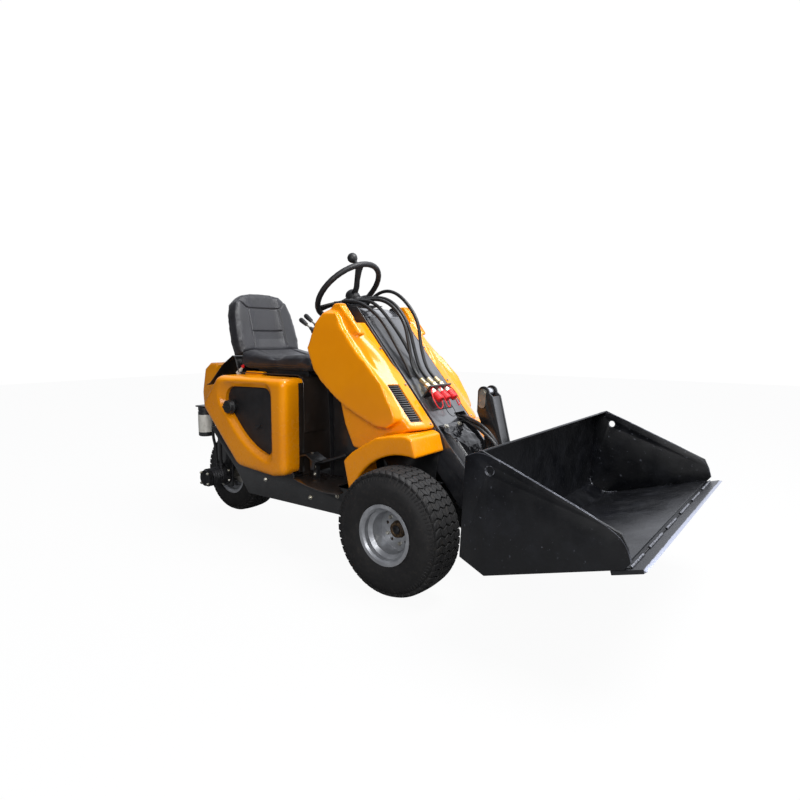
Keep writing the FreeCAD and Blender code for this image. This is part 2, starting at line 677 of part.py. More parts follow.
nodes["cowl_supports"] = both_sides(cowl_support())


# ---------------------------------------------------------------- rear steering fork
def rear_fork():
    """One-sided fork: crown plate, kingpin and the leg that carries the wheel motor."""
    x = -WHEELBASE
    crown_z = 2 * REAR_TYRE_RADIUS + TYRE_TOP_GAP
    leg_y = -FORK_LEG_INNER - FORK_LEG
    crown = box(x - 65, x + 65, leg_y, 60, crown_z, crown_z + 16)
    leg = prism([(x - 60, crown_z + 16), (x - 60, crown_z - 60), (x - 68, REAR_TYRE_RADIUS + 40),
                 (x - 60, REAR_TYRE_RADIUS - 65), (x + 60, REAR_TYRE_RADIUS - 65),
                 (x + 68, REAR_TYRE_RADIUS + 40), (x + 60, crown_z - 60), (x + 60, crown_z + 16)],
                leg_y, -FORK_LEG_INNER)
    pin = cross_z((x, 0), crown_z + 16, 632, KINGPIN_RADIUS)
    cap = cross_z((x, 0), 622, 632, 32.0)
    gusset = prism([(x - 55, crown_z), (x + 55, crown_z), (x + 30, crown_z - 14), (x - 30, crown_z - 14)],
                   -FORK_LEG_INNER, -FORK_LEG_INNER + 12)
    solid = crown.fuse([leg, pin, cap, gusset])
    return solid.cut(cross_bar(REAR_AXLE, -200, 0, SHAFT_RADIUS + 2)).removeSplitter()


nodes["rear_fork"] = rear_fork()


def rear_motor():
    leg_y = -FORK_LEG_INNER - FORK_LEG
    flange = cross_bar(REAR_AXLE, leg_y - 12, leg_y, 62.0)
    body = cross_bar(REAR_AXLE, leg_y - 118, leg_y - 12, 50.0)
    cover = cross_bar(REAR_AXLE, leg_y - 138, leg_y - 118, 44.0)
    shaft = cross_bar(REAR_AXLE, leg_y - 12, REAR_HUB_START + SHAFT_REACH, SHAFT_RADIUS)
    ports = [cross_z((REAR_AXLE[0] + dx, leg_y - 40), REAR_AXLE[1] + 40, REAR_AXLE[1] + 88, 11.0)
             for dx in (-20, 20)]
    return body.fuse([flange, cover, shaft] + ports).removeSplitter()


nodes["rear_wheel_motor"] = rear_motor()
nodes["oil_filter"] = cross_z((-1508, -175), 440, REAR_PLATE_TOP - 8, 40.0)


# ---------------------------------------------------------------- boom
def boom():
    """Box beam: side plates with ears to the pivot, a top plate with a curved end, an underside and lugs."""
    outer = BOOM_HALF
    inner = BOOM_HALF - BOOM_SIDE
    top_x = -365.0
    hx, hz = HITCH_PIVOT
    ox, oz = BOOM_PIVOT
    side = [boom_point(top_x), boom_point(hx + 12), (hx + 40, hz), ((hx + 20, hz - 36), (hx - 20, hz - 36)),
            boom_point(227, BOOM_DEPTH), boom_point(top_x + 140, BOOM_DEPTH), (ox + 22, oz - 42),
            ((ox - 48, oz), (ox - 18, oz + 42))]
    plate = prism(side, inner, outer)
    plate = plate.cut(cross_bar(BOOM_PIVOT, 0, 300, PIN_RADIUS + 0.05))
    plate = plate.cut(cross_bar(HITCH_PIVOT, 0, 300, PIN_RADIUS + 0.05))
    top = prism([boom_point(top_x), boom_point(BOOM_NOTCH_X), boom_point(BOOM_NOTCH_X, 8),
                 boom_point(top_x, 8)], -inner, inner)
    end = prism([about_pivot(47, BOOM_END_RADIUS), (about_pivot(71, BOOM_END_RADIUS), about_pivot(95, BOOM_END_RADIUS)),
                 about_pivot(95, BOOM_END_RADIUS - 8),
                 (about_pivot(71, BOOM_END_RADIUS - 8), about_pivot(47, BOOM_END_RADIUS - 8))], -inner, inner)
    tongue = prism([boom_point(BOOM_NOTCH_X), boom_point(BOOM_OPEN_X), boom_point(BOOM_OPEN_X, 8),
                    boom_point(BOOM_NOTCH_X, 8)], -inner, FLAP_LEFT + 2)
    bulkhead = prism([boom_point(BULKHEAD_X - 8, 6), boom_point(BULKHEAD_X, 6), boom_point(BULKHEAD_X, 50),
                      boom_point(BULKHEAD_X - 8, 50)], 30, inner)
    bottom = prism([boom_point(-300, BOOM_DEPTH - 8), boom_point(227, BOOM_DEPTH - 8),
                    boom_point(227, BOOM_DEPTH), boom_point(-300, BOOM_DEPTH)], -inner, inner)
    tilt_lug = prism(hub_slab((TILT_BASE, (TILT_BASE[0] - 36, TILT_BASE[1] + 43)), 22.0), 32, 44)
    tilt_lug = tilt_lug.cut(cross_bar(TILT_BASE, 0, 100, CYLINDER_PIN + PIN_CLEARANCE))
    web = prism([boom_point(215, 64), boom_point(225, 64), boom_point(225, BOOM_DEPTH - 4),
                 boom_point(215, BOOM_DEPTH - 4)], -inner, inner)
    lift_lug = prism([boom_point(-285, BOOM_DEPTH - 4), boom_point(-190, BOOM_DEPTH - 4),
                      (LIFT_EYE[0] + 18, LIFT_EYE[1] - 16), ((LIFT_EYE[0] - 5, LIFT_EYE[1] - 24),
                                                            (LIFT_EYE[0] - 23, LIFT_EYE[1] + 8))], 26, 38)
    lift_lug = lift_lug.cut(cross_bar(LIFT_EYE, 0, 100, CYLINDER_PIN + PIN_CLEARANCE))
    parts = [mirrored(plate), top, end, tongue, bulkhead, bottom, web, tilt_lug, mirrored(tilt_lug), lift_lug,
             mirrored(lift_lug)]
    return plate.fuse(parts).removeSplitter()


nodes["boom"] = boom()
nodes["boom_pin"] = cross_bar(BOOM_PIVOT, -BOOM_HALF - 3, BOOM_HALF + 3, PIN_RADIUS)


COUPLERS_Y = (-80.0, -25.0, 30.0)
COUPLER_START = (-98.0, 812.0)
COUPLER_SLOPE = 37.8         # degrees below level


def coupler_point(distance, up=0.0):
    """A side-view point on the couplers' common axis, and square to it."""
    a = math.radians(COUPLER_SLOPE)
    return (COUPLER_START[0] + distance * math.cos(a) + up * math.sin(a),
            COUPLER_START[1] - distance * math.sin(a) + up * math.cos(a))


def coupler_length(start, end, radius, y):
    return bar_between(coupler_point(start), coupler_point(end), radius, y)


def coupler_bracket():
    """A plate square to the couplers, with its foot on the boom and a hole for each coupler."""
    plate = prism([coupler_point(60, -39), coupler_point(66, -38), coupler_point(66, 24),
                   coupler_point(60, 24)], COUPLERS_Y[0] - 28, COUPLERS_Y[-1] + 28)
    for y in COUPLERS_Y:
        plate = plate.cut(coupler_length(50, 80, 14 + GAP, y))
    above = prism([boom_point(-300, -GAP), boom_point(200, -GAP), (200, 1200), (-300, 1200)], -200, 200)
    foot = prism([boom_point(-66, -GAP), boom_point(-26, -GAP), boom_point(-26, -6), boom_point(-66, -6)],
                 COUPLERS_Y[0] - 28, COUPLERS_Y[-1] + 28)
    return plate.common(above).fuse(foot).removeSplitter()


nodes["aux_couplers"] = Part.makeCompound([
    coupler_length(0, 42, 9, y).fuse(coupler_length(42, 92, 14, y)).removeSplitter() for y in COUPLERS_Y])
nodes["coupler_bracket"] = coupler_bracket()
nodes["coupler_caps"] = Part.makeCompound([coupler_length(92 + GAP, 130, 17, y) for y in COUPLERS_Y])


# ---------------------------------------------------------------- cylinders
def cylinder(base, eye, barrel_radius, rod_radius, barrel_length, width, rod_eye):
    """Barrel with a base eye, and rod with an eye, along the line from base to eye."""
    eye_radius = barrel_radius * 0.8
    bore_start = eye_radius * 1.35 + 8
    bore_radius = barrel_radius - 6
    barrel = bar_between(along(base, eye, eye_radius * 1.35), along(base, eye, barrel_length), barrel_radius)
    barrel = barrel.fuse(bar_between(base, along(base, eye, eye_radius * 1.5), eye_radius * 0.65))
    bore = bar_between(along(base, eye, bore_start), along(base, eye, barrel_length - 30), bore_radius)
    gland = bar_between(along(base, eye, barrel_length - 31), along(base, eye, barrel_length + 1),
                        rod_radius + 0.3)
    barrel = barrel.fuse(cross_bar(base, -width, width, eye_radius))
    barrel = barrel.cut(bore).cut(gland).cut(cross_bar(base, -60, 60, CYLINDER_PIN + PIN_CLEARANCE))
    piston_at = bore_start + PISTON_SPARE
    piston = bar_between(along(base, eye, piston_at), along(base, eye, piston_at + 20), bore_radius - 0.3)
    rod = bar_between(along(base, eye, piston_at), along(base, eye, math.dist(base, eye) - rod_eye * 0.7),
                      rod_radius)
    rod = rod.fuse([piston, cross_bar(eye, -width, width, rod_eye)])
    rod = rod.cut(cross_bar(eye, -60, 60, CYLINDER_PIN + PIN_CLEARANCE))
    return barrel.removeSplitter(), rod.removeSplitter()


nodes["lift_barrel"], nodes["lift_rod"] = cylinder(
    LIFT_BASE, LIFT_EYE, LIFT_BARREL_RADIUS, LIFT_ROD_RADIUS, LIFT_BARREL_LENGTH, 20.0, 25.0)
tilt_barrel, nodes["tilt_rod"] = cylinder(
    TILT_BASE, TILT_EYE, TILT_BARREL_RADIUS, TILT_ROD_RADIUS, TILT_BARREL_LENGTH, 22.0, 17.0)
PORT_DISTANCES = (118.0, 80.0)      # along the tilt barrel from its base pin
PORT_Y = -44.0
PORT_REACH = 25.0
PORT_DIR = V(0.683, -0.201, 0.702).normalize()


def port_tip(distance, beyond=0.0):
    """The end of a port's elbow on the tilt barrel, or a point in line with it further out."""
    return vec(along(TILT_BASE, TILT_EYE, distance), PORT_Y) + PORT_DIR * (PORT_REACH + beyond)


def port_elbow(distance):
    """An elbow on the barrel's side, turned forward, up and a little outward."""
    at = along(TILT_BASE, TILT_EYE, distance)
    elbow = Part.makeCylinder(9.0, PORT_REACH, vec(at, PORT_Y), PORT_DIR)
    return cross_bar(at, PORT_Y - 6, -TILT_BARREL_RADIUS + 4, 9.0).fuse(elbow)


nodes["tilt_barrel"] = tilt_barrel.fuse([port_elbow(d) for d in PORT_DISTANCES]).removeSplitter()


# ---------------------------------------------------------------- hoses and flap
COUPLER_RUN = coupler_point(-55)
AUX_ROUTES = (
    [(-512, 56, 1150), (-452, 52, 1208), (-325, 42, 1210), (-200, 38, 1085), (-182, 35, 950),
     (COUPLER_RUN[0], 30, COUPLER_RUN[1]), (COUPLER_START[0], 30, COUPLER_START[1])],
    [(-516, -48, HOSE_START_Z), (-430, -46, 1176), (-295, -42, 1170), (-200, -36, 1063), (-170, -30, 935),
     (COUPLER_RUN[0], -25, COUPLER_RUN[1]), (COUPLER_START[0], -25, COUPLER_START[1])],
    [(-516.6, -67, HOSE_START_Z - 2), (-430, -66, 1166), (-300, -65, 1163), (-195, -72, 1070),
     (-166, -76, 955), (COUPLER_RUN[0], -80, COUPLER_RUN[1]), (COUPLER_START[0], -80, COUPLER_START[1])],
    [(-517, -89, HOSE_START_Z), (-440, -86, 1163), (-350, -78, 1152), (-243, -70, 1033), (-176, -63, 935),
     (-145, -56, 866), (-133.3, -53, 825.8)],
    [(-517.3, -112, HOSE_START_Z), (-445, -112, 1160), (-365, -109, 1128), (-280, -108, 1060),
     (-198, -106, 935), (-155, -106, 872), (-131, -106, 824.3)],
)
BULKHEAD_FACE = boom_point(BULKHEAD_X + GAP, 30)
TILT_ROUTES = (
    [(BULKHEAD_FACE[0], 100, BULKHEAD_FACE[1]), (-30, 100, 636), (45, 76, 648), (145, -48, 662),
     (235, -66, 628), (302, -71, 565)],
    [(BULKHEAD_FACE[0], 72, BULKHEAD_FACE[1]), (-30, 72, 636), (50, 56, 636), (148, -70, 644),
     (222, -90, 612), (292, -93, 550)],
)
REAR_PORTS_X = (REAR_AXLE[0] + 20, REAR_AXLE[0] - 20)
REAR_ROUTES = (
    [(REAR_PORTS_X[0], -170, 313), (REAR_PORTS_X[0], -170, 372), (-1370, -180, 450), (-1352, -172, 530),
     (-1352, -172, REAR_PLATE_TOP - 8 - GAP)],
    [(REAR_PORTS_X[1], -170, 313), (REAR_PORTS_X[1], -170, 375), (-1438, -184, 455), (-1425, -176, 535),
     (-1425, -176, REAR_PLATE_TOP - 8 - GAP)],
)


def hoses(name, routes):
    """One solid for each route; prints its length, its tightest bend and its volume as a check."""
    solids = []
    for route in routes:
        solid, length, bend, filled = tube_route(route, HOSE_RADIUS)
        solids.append(solid)
        print("%s length %.0f bend %.0f filled %.3f" % (name, length, bend, filled))
    nodes[name] = Part.makeCompound(solids)


hoses("aux_hoses", AUX_ROUTES)
hoses("tilt_hoses", [route + [tuple(port_tip(d, 62.0)), tuple(port_tip(d, GAP))]
                     for route, d in zip(TILT_ROUTES, PORT_DISTANCES)])
hoses("rear_hoses", REAR_ROUTES)
FLAP_PATH = [boom_point(22, -GAP), boom_point(48, -8), boom_point(78, -22), boom_point(105, -24),
             boom_point(130, -8)]
nodes["hose_flap"] = sheet(FLAP_PATH, 2.0, -128, FLAP_LEFT)


# ---------------------------------------------------------------- bucket and hitch
def in_bucket(x, z):
    """A point of the flat bucket (from its heel) in the rolled-back rest position."""
    hx, hz = BUCKET_HEEL
    return turned((hx + x, hz + z), BUCKET_HEEL, BUCKET_ROLL)


def bucket():
    half = BUCKET_WIDTH / 2
    inner = half - BUCKET_SIDE
    top = (40.0, BUCKET_HEIGHT - 7)
    plate_path = [(BUCKET_DEPTH - 62, 0), (0, 0), (-67, 63), top]
    shell = prism([in_bucket(*p) for p in strip(plate_path, -BUCKET_PLATE)], -inner, inner)
    lip = [in_bucket(*p) for p in strip([(top[0] + 2, top[1] + 2), (top[0] + 58, BUCKET_HEIGHT)], -BUCKET_PLATE)]
    shell = shell.fuse(prism(lip, -inner, inner)).removeSplitter()
    side = [(0, -1), (BUCKET_DEPTH - 62, -1), (BUCKET_DEPTH - 39, 16), (BUCKET_DEPTH - 37, 54),
            (BUCKET_DEPTH - 44, 95), (97, BUCKET_HEIGHT), (67, BUCKET_HEIGHT - 2), (top[0] - 4, top[1]),
            (-73, 64)]
    plate = prism([in_bucket(*p) for p in side], inner, half)
    plate = plate.cut(cross_bar(in_bucket(108, 317), 0, 700, SHACKLE_HOLE))
    edge = [(BUCKET_DEPTH - 100, -14), (BUCKET_DEPTH - 14, -14), (BUCKET_DEPTH, -7), (BUCKET_DEPTH - 14, -1.2),
            (BUCKET_DEPTH - 100, -1.2)]
    cutting = prism([in_bucket(*p) for p in edge], -half, half)
    return shell, plate, cutting


shell, side, cutting = bucket()
nodes["bucket_shell"] = shell
nodes["bucket_sides"] = both_sides(side)
nodes["cutting_edge"] = cutting


def hitch():
    """Tilt frame: a tall channel with the cylinder's top pin, ears at the hitch pin and a base
    plate against the bucket's back."""
    hx, hz = HITCH_PIVOT
    tx, tz = TILT_EYE
    ear = prism([(hx - 30, hz), ((hx, hz - 30), (hx + 24, hz - 26)), (409, 306), (414, 420), (hx + 20, hz + 80),
                 (hx - 22, hz + 22)], BOOM_HALF - BOOM_SIDE - 24, BOOM_HALF - BOOM_SIDE - 8)
    ear = ear.cut(cross_bar(HITCH_PIVOT, 0, 300, PIN_RADIUS + PIN_CLEARANCE))
    web_front = [(219, 755), (263, 570), (330, 420), (410, 345)]
    cheek = prism([(tx - 25, tz), ((tx, tz + 26), (tx + 26, tz)), (222, 755), (267, 570), (335, 422),
                   (411, 350), (409, 310), (300, 330), (205, 560), (152, 690)], 30, 38)
    cheek = cheek.cut(cross_bar(TILT_EYE, 0, 100, CYLINDER_PIN + PIN_CLEARANCE))
    web = sheet(web_front, -5, -30, 30)
    low, high = in_bucket(-67, 63), in_bucket(40, BUCKET_HEIGHT - 7)
    base = sheet([along(low, high, 4), along(low, high, 262)], 8, -190, 190)
    return ear.fuse([mirrored(ear), cheek, mirrored(cheek), web, base]).removeSplitter()


nodes["hitch_frame"] = hitch()


def hitch_pins():
    """Two stub pins through the boom ears, and the top pin with its keeper plate."""
    stub = cross_bar(HITCH_PIVOT, BOOM_HALF - BOOM_SIDE - 28, BOOM_HALF + 8, PIN_RADIUS)
    top = cross_bar(TILT_EYE, 24, 46, CYLINDER_PIN)
    keeper = prism(hub_slab((TILT_EYE, (TILT_EYE[0] - 4, TILT_EYE[1] - 48)), 15.0), -44, -38.4)
    return Part.makeCompound([stub, mirrored(stub), top, mirrored(top).fuse(keeper)])


nodes["hitch_pins"] = hitch_pins()
lift_stub = cross_bar(LIFT_EYE, 22, 42, CYLINDER_PIN)
nodes["cylinder_pins"] = Part.makeCompound([cross_bar(TILT_BASE, -TILT_PIN_HALF, TILT_PIN_HALF, CYLINDER_PIN),
                                            lift_stub, mirrored(lift_stub)])
nodes["lift_base_pin"] = cross_bar(LIFT_BASE, -38, 38, CYLINDER_PIN)


# ---------------------------------------------------------------- write the parts
os.makedirs("parts", exist_ok=True)
for name, shape in nodes.items():
    moved = shape.copy()
    moved.translate(V(SHIFT_X, 0, 0))
    moved.exportStep("parts/%s.step" % name)
whole = Part.makeCompound(list(nodes.values())).BoundBox
print("nodes", len(nodes))
print("box x %.1f %.1f  y %.1f %.1f  z %.1f %.1f" % (
    whole.XMin + SHIFT_X, whole.XMax + SHIFT_X, whole.YMin, whole.YMax, whole.ZMin, whole.ZMax))
for name, shape in nodes.items():
    if not shape.isValid():
        print("invalid", name)
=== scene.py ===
# %% [markdown]
# # A small ride-on wheel loader
# The loader stands on two driven front wheels and one steered rear wheel. A boom between two moulded
# cowls carries a bucket, and the driver sits behind it. The frame, the joints and all that carries
# load come from the CAD model, which is loaded first. This lesson adds what CAD leaves plain: paint,
# rubber tread, stitched vinyl, hoses with their fittings, and the wear of a used machine.

# %% The CAD model
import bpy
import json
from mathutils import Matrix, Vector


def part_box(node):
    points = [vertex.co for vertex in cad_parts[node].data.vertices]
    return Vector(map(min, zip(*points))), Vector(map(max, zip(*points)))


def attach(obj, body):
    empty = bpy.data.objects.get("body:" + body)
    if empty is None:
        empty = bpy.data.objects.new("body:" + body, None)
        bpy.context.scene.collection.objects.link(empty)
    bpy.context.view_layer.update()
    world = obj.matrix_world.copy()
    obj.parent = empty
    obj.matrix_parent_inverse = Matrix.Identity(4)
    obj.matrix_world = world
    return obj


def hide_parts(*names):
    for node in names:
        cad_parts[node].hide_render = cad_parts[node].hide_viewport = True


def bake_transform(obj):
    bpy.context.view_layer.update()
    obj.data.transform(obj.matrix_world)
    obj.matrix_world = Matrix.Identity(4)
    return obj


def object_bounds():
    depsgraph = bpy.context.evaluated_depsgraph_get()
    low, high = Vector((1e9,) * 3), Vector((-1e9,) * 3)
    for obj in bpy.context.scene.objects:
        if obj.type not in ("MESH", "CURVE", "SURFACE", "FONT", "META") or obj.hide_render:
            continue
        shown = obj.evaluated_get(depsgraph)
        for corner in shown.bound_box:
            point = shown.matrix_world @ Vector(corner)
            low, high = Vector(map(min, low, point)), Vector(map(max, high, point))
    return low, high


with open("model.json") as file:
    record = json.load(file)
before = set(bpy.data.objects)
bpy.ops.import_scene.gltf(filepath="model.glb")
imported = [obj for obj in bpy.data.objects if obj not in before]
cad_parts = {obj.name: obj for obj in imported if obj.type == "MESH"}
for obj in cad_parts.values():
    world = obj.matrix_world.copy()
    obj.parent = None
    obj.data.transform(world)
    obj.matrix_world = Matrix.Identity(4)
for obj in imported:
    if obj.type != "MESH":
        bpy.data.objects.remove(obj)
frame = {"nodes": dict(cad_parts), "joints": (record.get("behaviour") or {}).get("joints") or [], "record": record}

# %% Tools and the CAD box
import json
import math

import bpy
from mathutils import Matrix, Vector, noise

cad_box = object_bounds()
nodes = frame["nodes"]
bodies = {n: body for body, members in frame["record"]["behaviour"]["bodies"].items() for n in members}
SLOTS = {part["node"]: part["material_slot"] for part in frame["record"]["subparts"]}
joints = {joint["name"]: joint for joint in frame["joints"]}
AXLE_X = joints["front_wheel_left_spin"]["pos_m"][0]
print("nodes", len(nodes), "box", [tuple(round(v, 3) for v in corner) for corner in cad_box])

# %% [markdown]
# ## Where things are
# Every size below is in millimetres from the point on the ground under the front axle, x forwards,
# y to the left and z up, as on the machine's own drawing. `at` turns such a point into Blender's
# metres. One helper for this keeps the numbers readable, where dividing by 1000 at each use would not.

# %% Wheel places and a point on the machine
FRONT_RADIUS, REAR_RADIUS = 250, 225
FRONT_LEFT, FRONT_RIGHT = (0, 385, FRONT_RADIUS), (0, -385, FRONT_RADIUS)
REAR_WHEEL = (-1408, 0, REAR_RADIUS)


def at(x, y, z):
    """A point in millimetres from the ground under the front axle, in metres."""
    return Vector((AXLE_X + x / 1000, y / 1000, z / 1000))


def unselected():
    """Leaves edit mode with nothing selected, because an operator acts on all that is."""
    if bpy.context.object and bpy.context.object.mode != "OBJECT":
        bpy.ops.object.mode_set(mode="OBJECT")
    bpy.ops.object.select_all(action="DESELECT")


def chosen(piece):
    unselected()
    piece.select_set(True)
    bpy.context.view_layer.objects.active = piece
    return piece


print("front axle at", tuple(round(v, 3) for v in at(0, 0, 250)))

# %% [markdown]
# ## The camera
# The machine is seen from its front right corner, a little above the hood. A fixed lens and a place in
# metres are simpler to keep than a camera that is aimed with a constraint, and they never drift when
# a piece is added.

# %% Camera
AZIMUTH, DOWN = math.radians(36.61), math.radians(6.25)
sight = Vector((-math.sin(AZIMUTH) * math.cos(DOWN), math.cos(AZIMUTH) * math.cos(DOWN), -math.sin(DOWN)))
lens = bpy.data.cameras.new("view")
lens.lens, lens.sensor_width, lens.clip_end = 26.63, 36, 50
camera = bpy.data.objects.new("view", lens)
camera.location = at(1344, -2176, 1004)
camera.rotation_euler = sight.to_track_quat("-Z", "Y").to_euler()
bpy.context.scene.collection.objects.link(camera)
bpy.context.scene.camera = camera
print("camera at", tuple(round(v, 3) for v in camera.location))

# %% [markdown]
# ## Shader sums written as Python
# A finish mixes patterns with masks, and that is mostly arithmetic. `Wire` wraps one socket, and each
# operator on it adds the Math node that does the sum, so `1 - mask` reads as it is meant. Colours go
# through Mix nodes, because a Math node would turn them grey. `Graph.add` makes any node from its
# type, its settings and its inputs. A `Finish` is the graph of one material, and the sockets that stay
# the same all over are set on its shader itself.

# %% Wires
class Wire:
    """One socket of a graph; sums on it become Math nodes."""

    def __init__(self, graph, socket):
        self.graph, self.socket = graph, socket

    def sum(self, operation, *values):
        return self.graph.add("ShaderNodeMath", {"operation": operation}, dict(enumerate(values)))

    def __add__(self, other):
        return self.sum("ADD", self, other)

    def __sub__(self, other):
        return self.sum("SUBTRACT", self, other)

    def __rsub__(self, other):
        return self.sum("SUBTRACT", other, self)

    def __mul__(self, other):
        return self.sum("MULTIPLY", self, other)

    def __truediv__(self, other):
        return self.sum("DIVIDE", self, other)

    def __pow__(self, other):
        return self.sum("POWER", self, other)

    def __gt__(self, other):
        return self.sum("GREATER_THAN", self, other)

    def __lt__(self, other):
        return self.sum("LESS_THAN", self, other)

    __radd__, __rmul__ = __add__, __mul__

    def between(self, low, high):
        """0 below low, 1 above high, and a smooth step between them."""
        return self.graph.add("ShaderNodeMapRange", {"interpolation_type": "SMOOTHSTEP"},
                              {0: self, 1: low, 2: high, 3: 0.0, 4: 1.0})


# %% Graphs and finishes
class Graph:
    """The nodes of a material or of the sky."""

    def __init__(self, tree):
        self.tree = tree

    def add(self, kind, settings=(), values=(), output=0):
        """Any node: its settings or a ramp's stops first, then the values or links of its sockets."""
        node = self.tree.nodes.new(kind)
        for key, value in dict(settings).items():
            if key == "stops":
                for stop, (position, colour) in zip(node.color_ramp.elements, value):
                    stop.position, stop.color = position, colour
            else:
                setattr(node, key, value)
        for key, value in dict(values).items():
            if isinstance(value, Wire):
                self.tree.links.new(value.socket, node.inputs[key])
            else:
                node.inputs[key].default_value = value
        return Wire(self, node.outputs[output])

    def blend(self, factor, first, second):
        """Colour first where the factor is 0, and second where it is 1."""
        return self.add("ShaderNodeMix", {"data_type": "RGBA"}, {0: factor, 6: first, 7: second}, 2)


class Finish(Graph):
    """A material with its nodes."""

    def __init__(self, name, **shader):
        self.material = bpy.data.materials.new(name)
        self.material.use_nodes = True
        super().__init__(self.material.node_tree)
        self.shader = self.tree.nodes["Principled BSDF"]
        for key, value in shader.items():
            self.shader.inputs[key.replace("_", " ")].default_value = value
        self.place = self.add("ShaderNodeTexCoord", output="Object")

    def noise(self, scale, detail=3.0, rough=0.55, stretch=None):
        place = self.place
        if stretch:
            place = self.add("ShaderNodeMapping", {}, {"Vector": place, "Scale": stretch})
        return self.add("ShaderNodeTexNoise", {}, {"Vector": place, "Scale": scale, "Detail": detail,
                                                   "Roughness": rough})

    def cells(self, scale, feature="F1"):
        return self.add("ShaderNodeTexVoronoi", {"feature": feature},
                        {"Vector": self.place, "Scale": scale}, "Distance")

    def axis(self, letter):
        """One coordinate of the piece, in metres."""
        return self.add("ShaderNodeSeparateXYZ", {}, {0: self.place}, "XYZ".index(letter))

    def wear(self, colour, rough, height=None, distance=0.0004, strength=0.5, metal=None):
        """Joins colour, roughness and relief to the shader."""
        joined = {"Base Color": colour, "Roughness": rough, "Metallic": metal}
        if height is not None:
            joined["Normal"] = self.add("ShaderNodeBump", {}, {"Height": height, "Distance": distance,
                                                               "Strength": strength})
        for socket, wire in joined.items():
            if wire is not None:
                self.tree.links.new(wire.socket, self.shader.inputs[socket])
        return self.material


# %% Colours as on a screen
def shade(red, green, blue):
    """A colour written as on a screen, from 0 to 255, as the linear values that nodes use."""
    return tuple(c / 12.92 if c <= 0.04045 else ((c + 0.055) / 1.055) ** 2.4
                 for c in (red / 255, green / 255, blue / 255)) + (1.0,)


print("red in linear light", tuple(round(c, 3) for c in shade(200, 20, 25)))

# %% [markdown]
# ## Paint, steel, rubber and vinyl
# The cowls are gloss moulded skins, so their paint has a clear coat, a faint orange-peel relief and dust
# that settles low down. The beams carry a satin coat with brushed handling marks. The bucket has
# worked: its coat is scratched along the way the earth slides and hazy inside. Each pattern reads the
# piece's own coordinates in metres, so it keeps its real size.

# %% Gloss yellow coat
def gloss_yellow():
    f = Finish("yellow gloss coat", Coat_Roughness=0.05, Specular_IOR_Level=0.35)
    cloud = f.noise(2.6, 4)
    grime = f.noise(38, 5, 0.65)
    dust = (1 - f.axis("Z").between(0.42, 0.75)) * grime.between(0.45, 0.75)
    colour = f.blend(cloud.between(0.35, 0.7), shade(228, 138, 0), shade(238, 149, 0))
    colour = f.blend(dust * 0.14, colour, shade(150, 110, 52))
    fine = f.noise(900, 2)
    scratch = f.noise(160, 3, 0.5, stretch=(1, 1, 14)).between(0.66, 0.74)
    rough = f.noise(14, 4).between(0.3, 0.8) * 0.08 + 0.2 + dust * 0.3 + scratch * 0.12
    f.shader.inputs["Coat Weight"].default_value = 0.15
    return f.wear(colour, rough, fine * 0.25 + f.noise(55, 2), 0.0006, 0.16)


FINISHES = {"yellow_paint": gloss_yellow()}
print("made", FINISHES["yellow_paint"].name)


# %% Satin coats of the beams and the bucket
def graphite_coat(name, dark, light, coat, bend):
    f = Finish(name, Coat_Roughness=0.14, Coat_Weight=coat, Coat_IOR=bend)
    grime = f.noise(30, 5, 0.62)
    dust = grime.between(0.5, 0.78)
    colour = f.blend(f.noise(7, 3).between(0.3, 0.7), dark, light)
    colour = f.blend(dust * 0.16, colour, shade(84, 80, 76))
    scratch = f.noise(120, 3, 0.5, stretch=(1, 9, 1)).between(0.67, 0.73)
    colour = f.blend(scratch * 0.4, colour, shade(96, 98, 102))
    rough = f.noise(18, 3).between(0.3, 0.7) * 0.1 + 0.34 + dust * 0.15
    return f.wear(colour, rough, f.noise(650, 2) + scratch * 0.5, 0.0003, 0.35)


def bucket_coat():
    f = Finish("bucket black coat", Coat_Weight=0.1, Coat_Roughness=0.25, Specular_IOR_Level=0.35)
    haze = f.noise(9, 5, 0.7).between(0.45, 0.8)
    colour = f.blend(f.noise(5, 3).between(0.3, 0.7), shade(4, 5, 8), shade(8, 9, 13))
    colour = f.blend(haze * 0.2, colour, shade(46, 49, 58))
    scratch = f.noise(60, 4, 0.6, stretch=(1, 12, 1)).between(0.64, 0.7)
    colour = f.blend(scratch * 0.5, colour, shade(92, 95, 104))
    speck = f.cells(260).between(0.0, 0.12)
    colour = f.blend((1 - speck) * f.noise(22, 3).between(0.6, 0.7), colour, shade(140, 140, 144))
    rough = f.noise(12, 4).between(0.3, 0.7) * 0.14 + 0.3 + haze * 0.12
    return f.wear(colour, rough, f.noise(420, 3) + scratch, 0.0004, 0.3)


FINISHES["graphite"] = graphite_coat("graphite satin coat", shade(17, 18, 20), shade(26, 27, 29), 0.4, 1.55)
# The boom's copy of the graphite is lighter than the frame's: the lighter tone is a painted reflection of the sky
# on its top.
boom_painted_reflection_coat = graphite_coat("graphite coat of the boom, lightened as painted reflection", shade(30, 31, 35), shade(42, 43, 47), 1.0, 1.8)
# The black coat of the pedestal and floor plates is tinted warm brown: a painted reflection of the brown ground.
black_coat_warm_painted_reflection = graphite_coat("black gloss coat, warm tint as painted reflection", shade(30, 24, 20), shade(42, 33, 27), 0.9, 1.6)
FINISHES["bucket_paint"] = bucket_coat()
print("made", FINISHES["bucket_paint"].name)


# %% [markdown]
# Metal needs little more than a stain between two tones and a fine streak for its relief. What sets
# zinc, chrome and cast iron apart is how rough and how dark they are, so one maker serves them all.

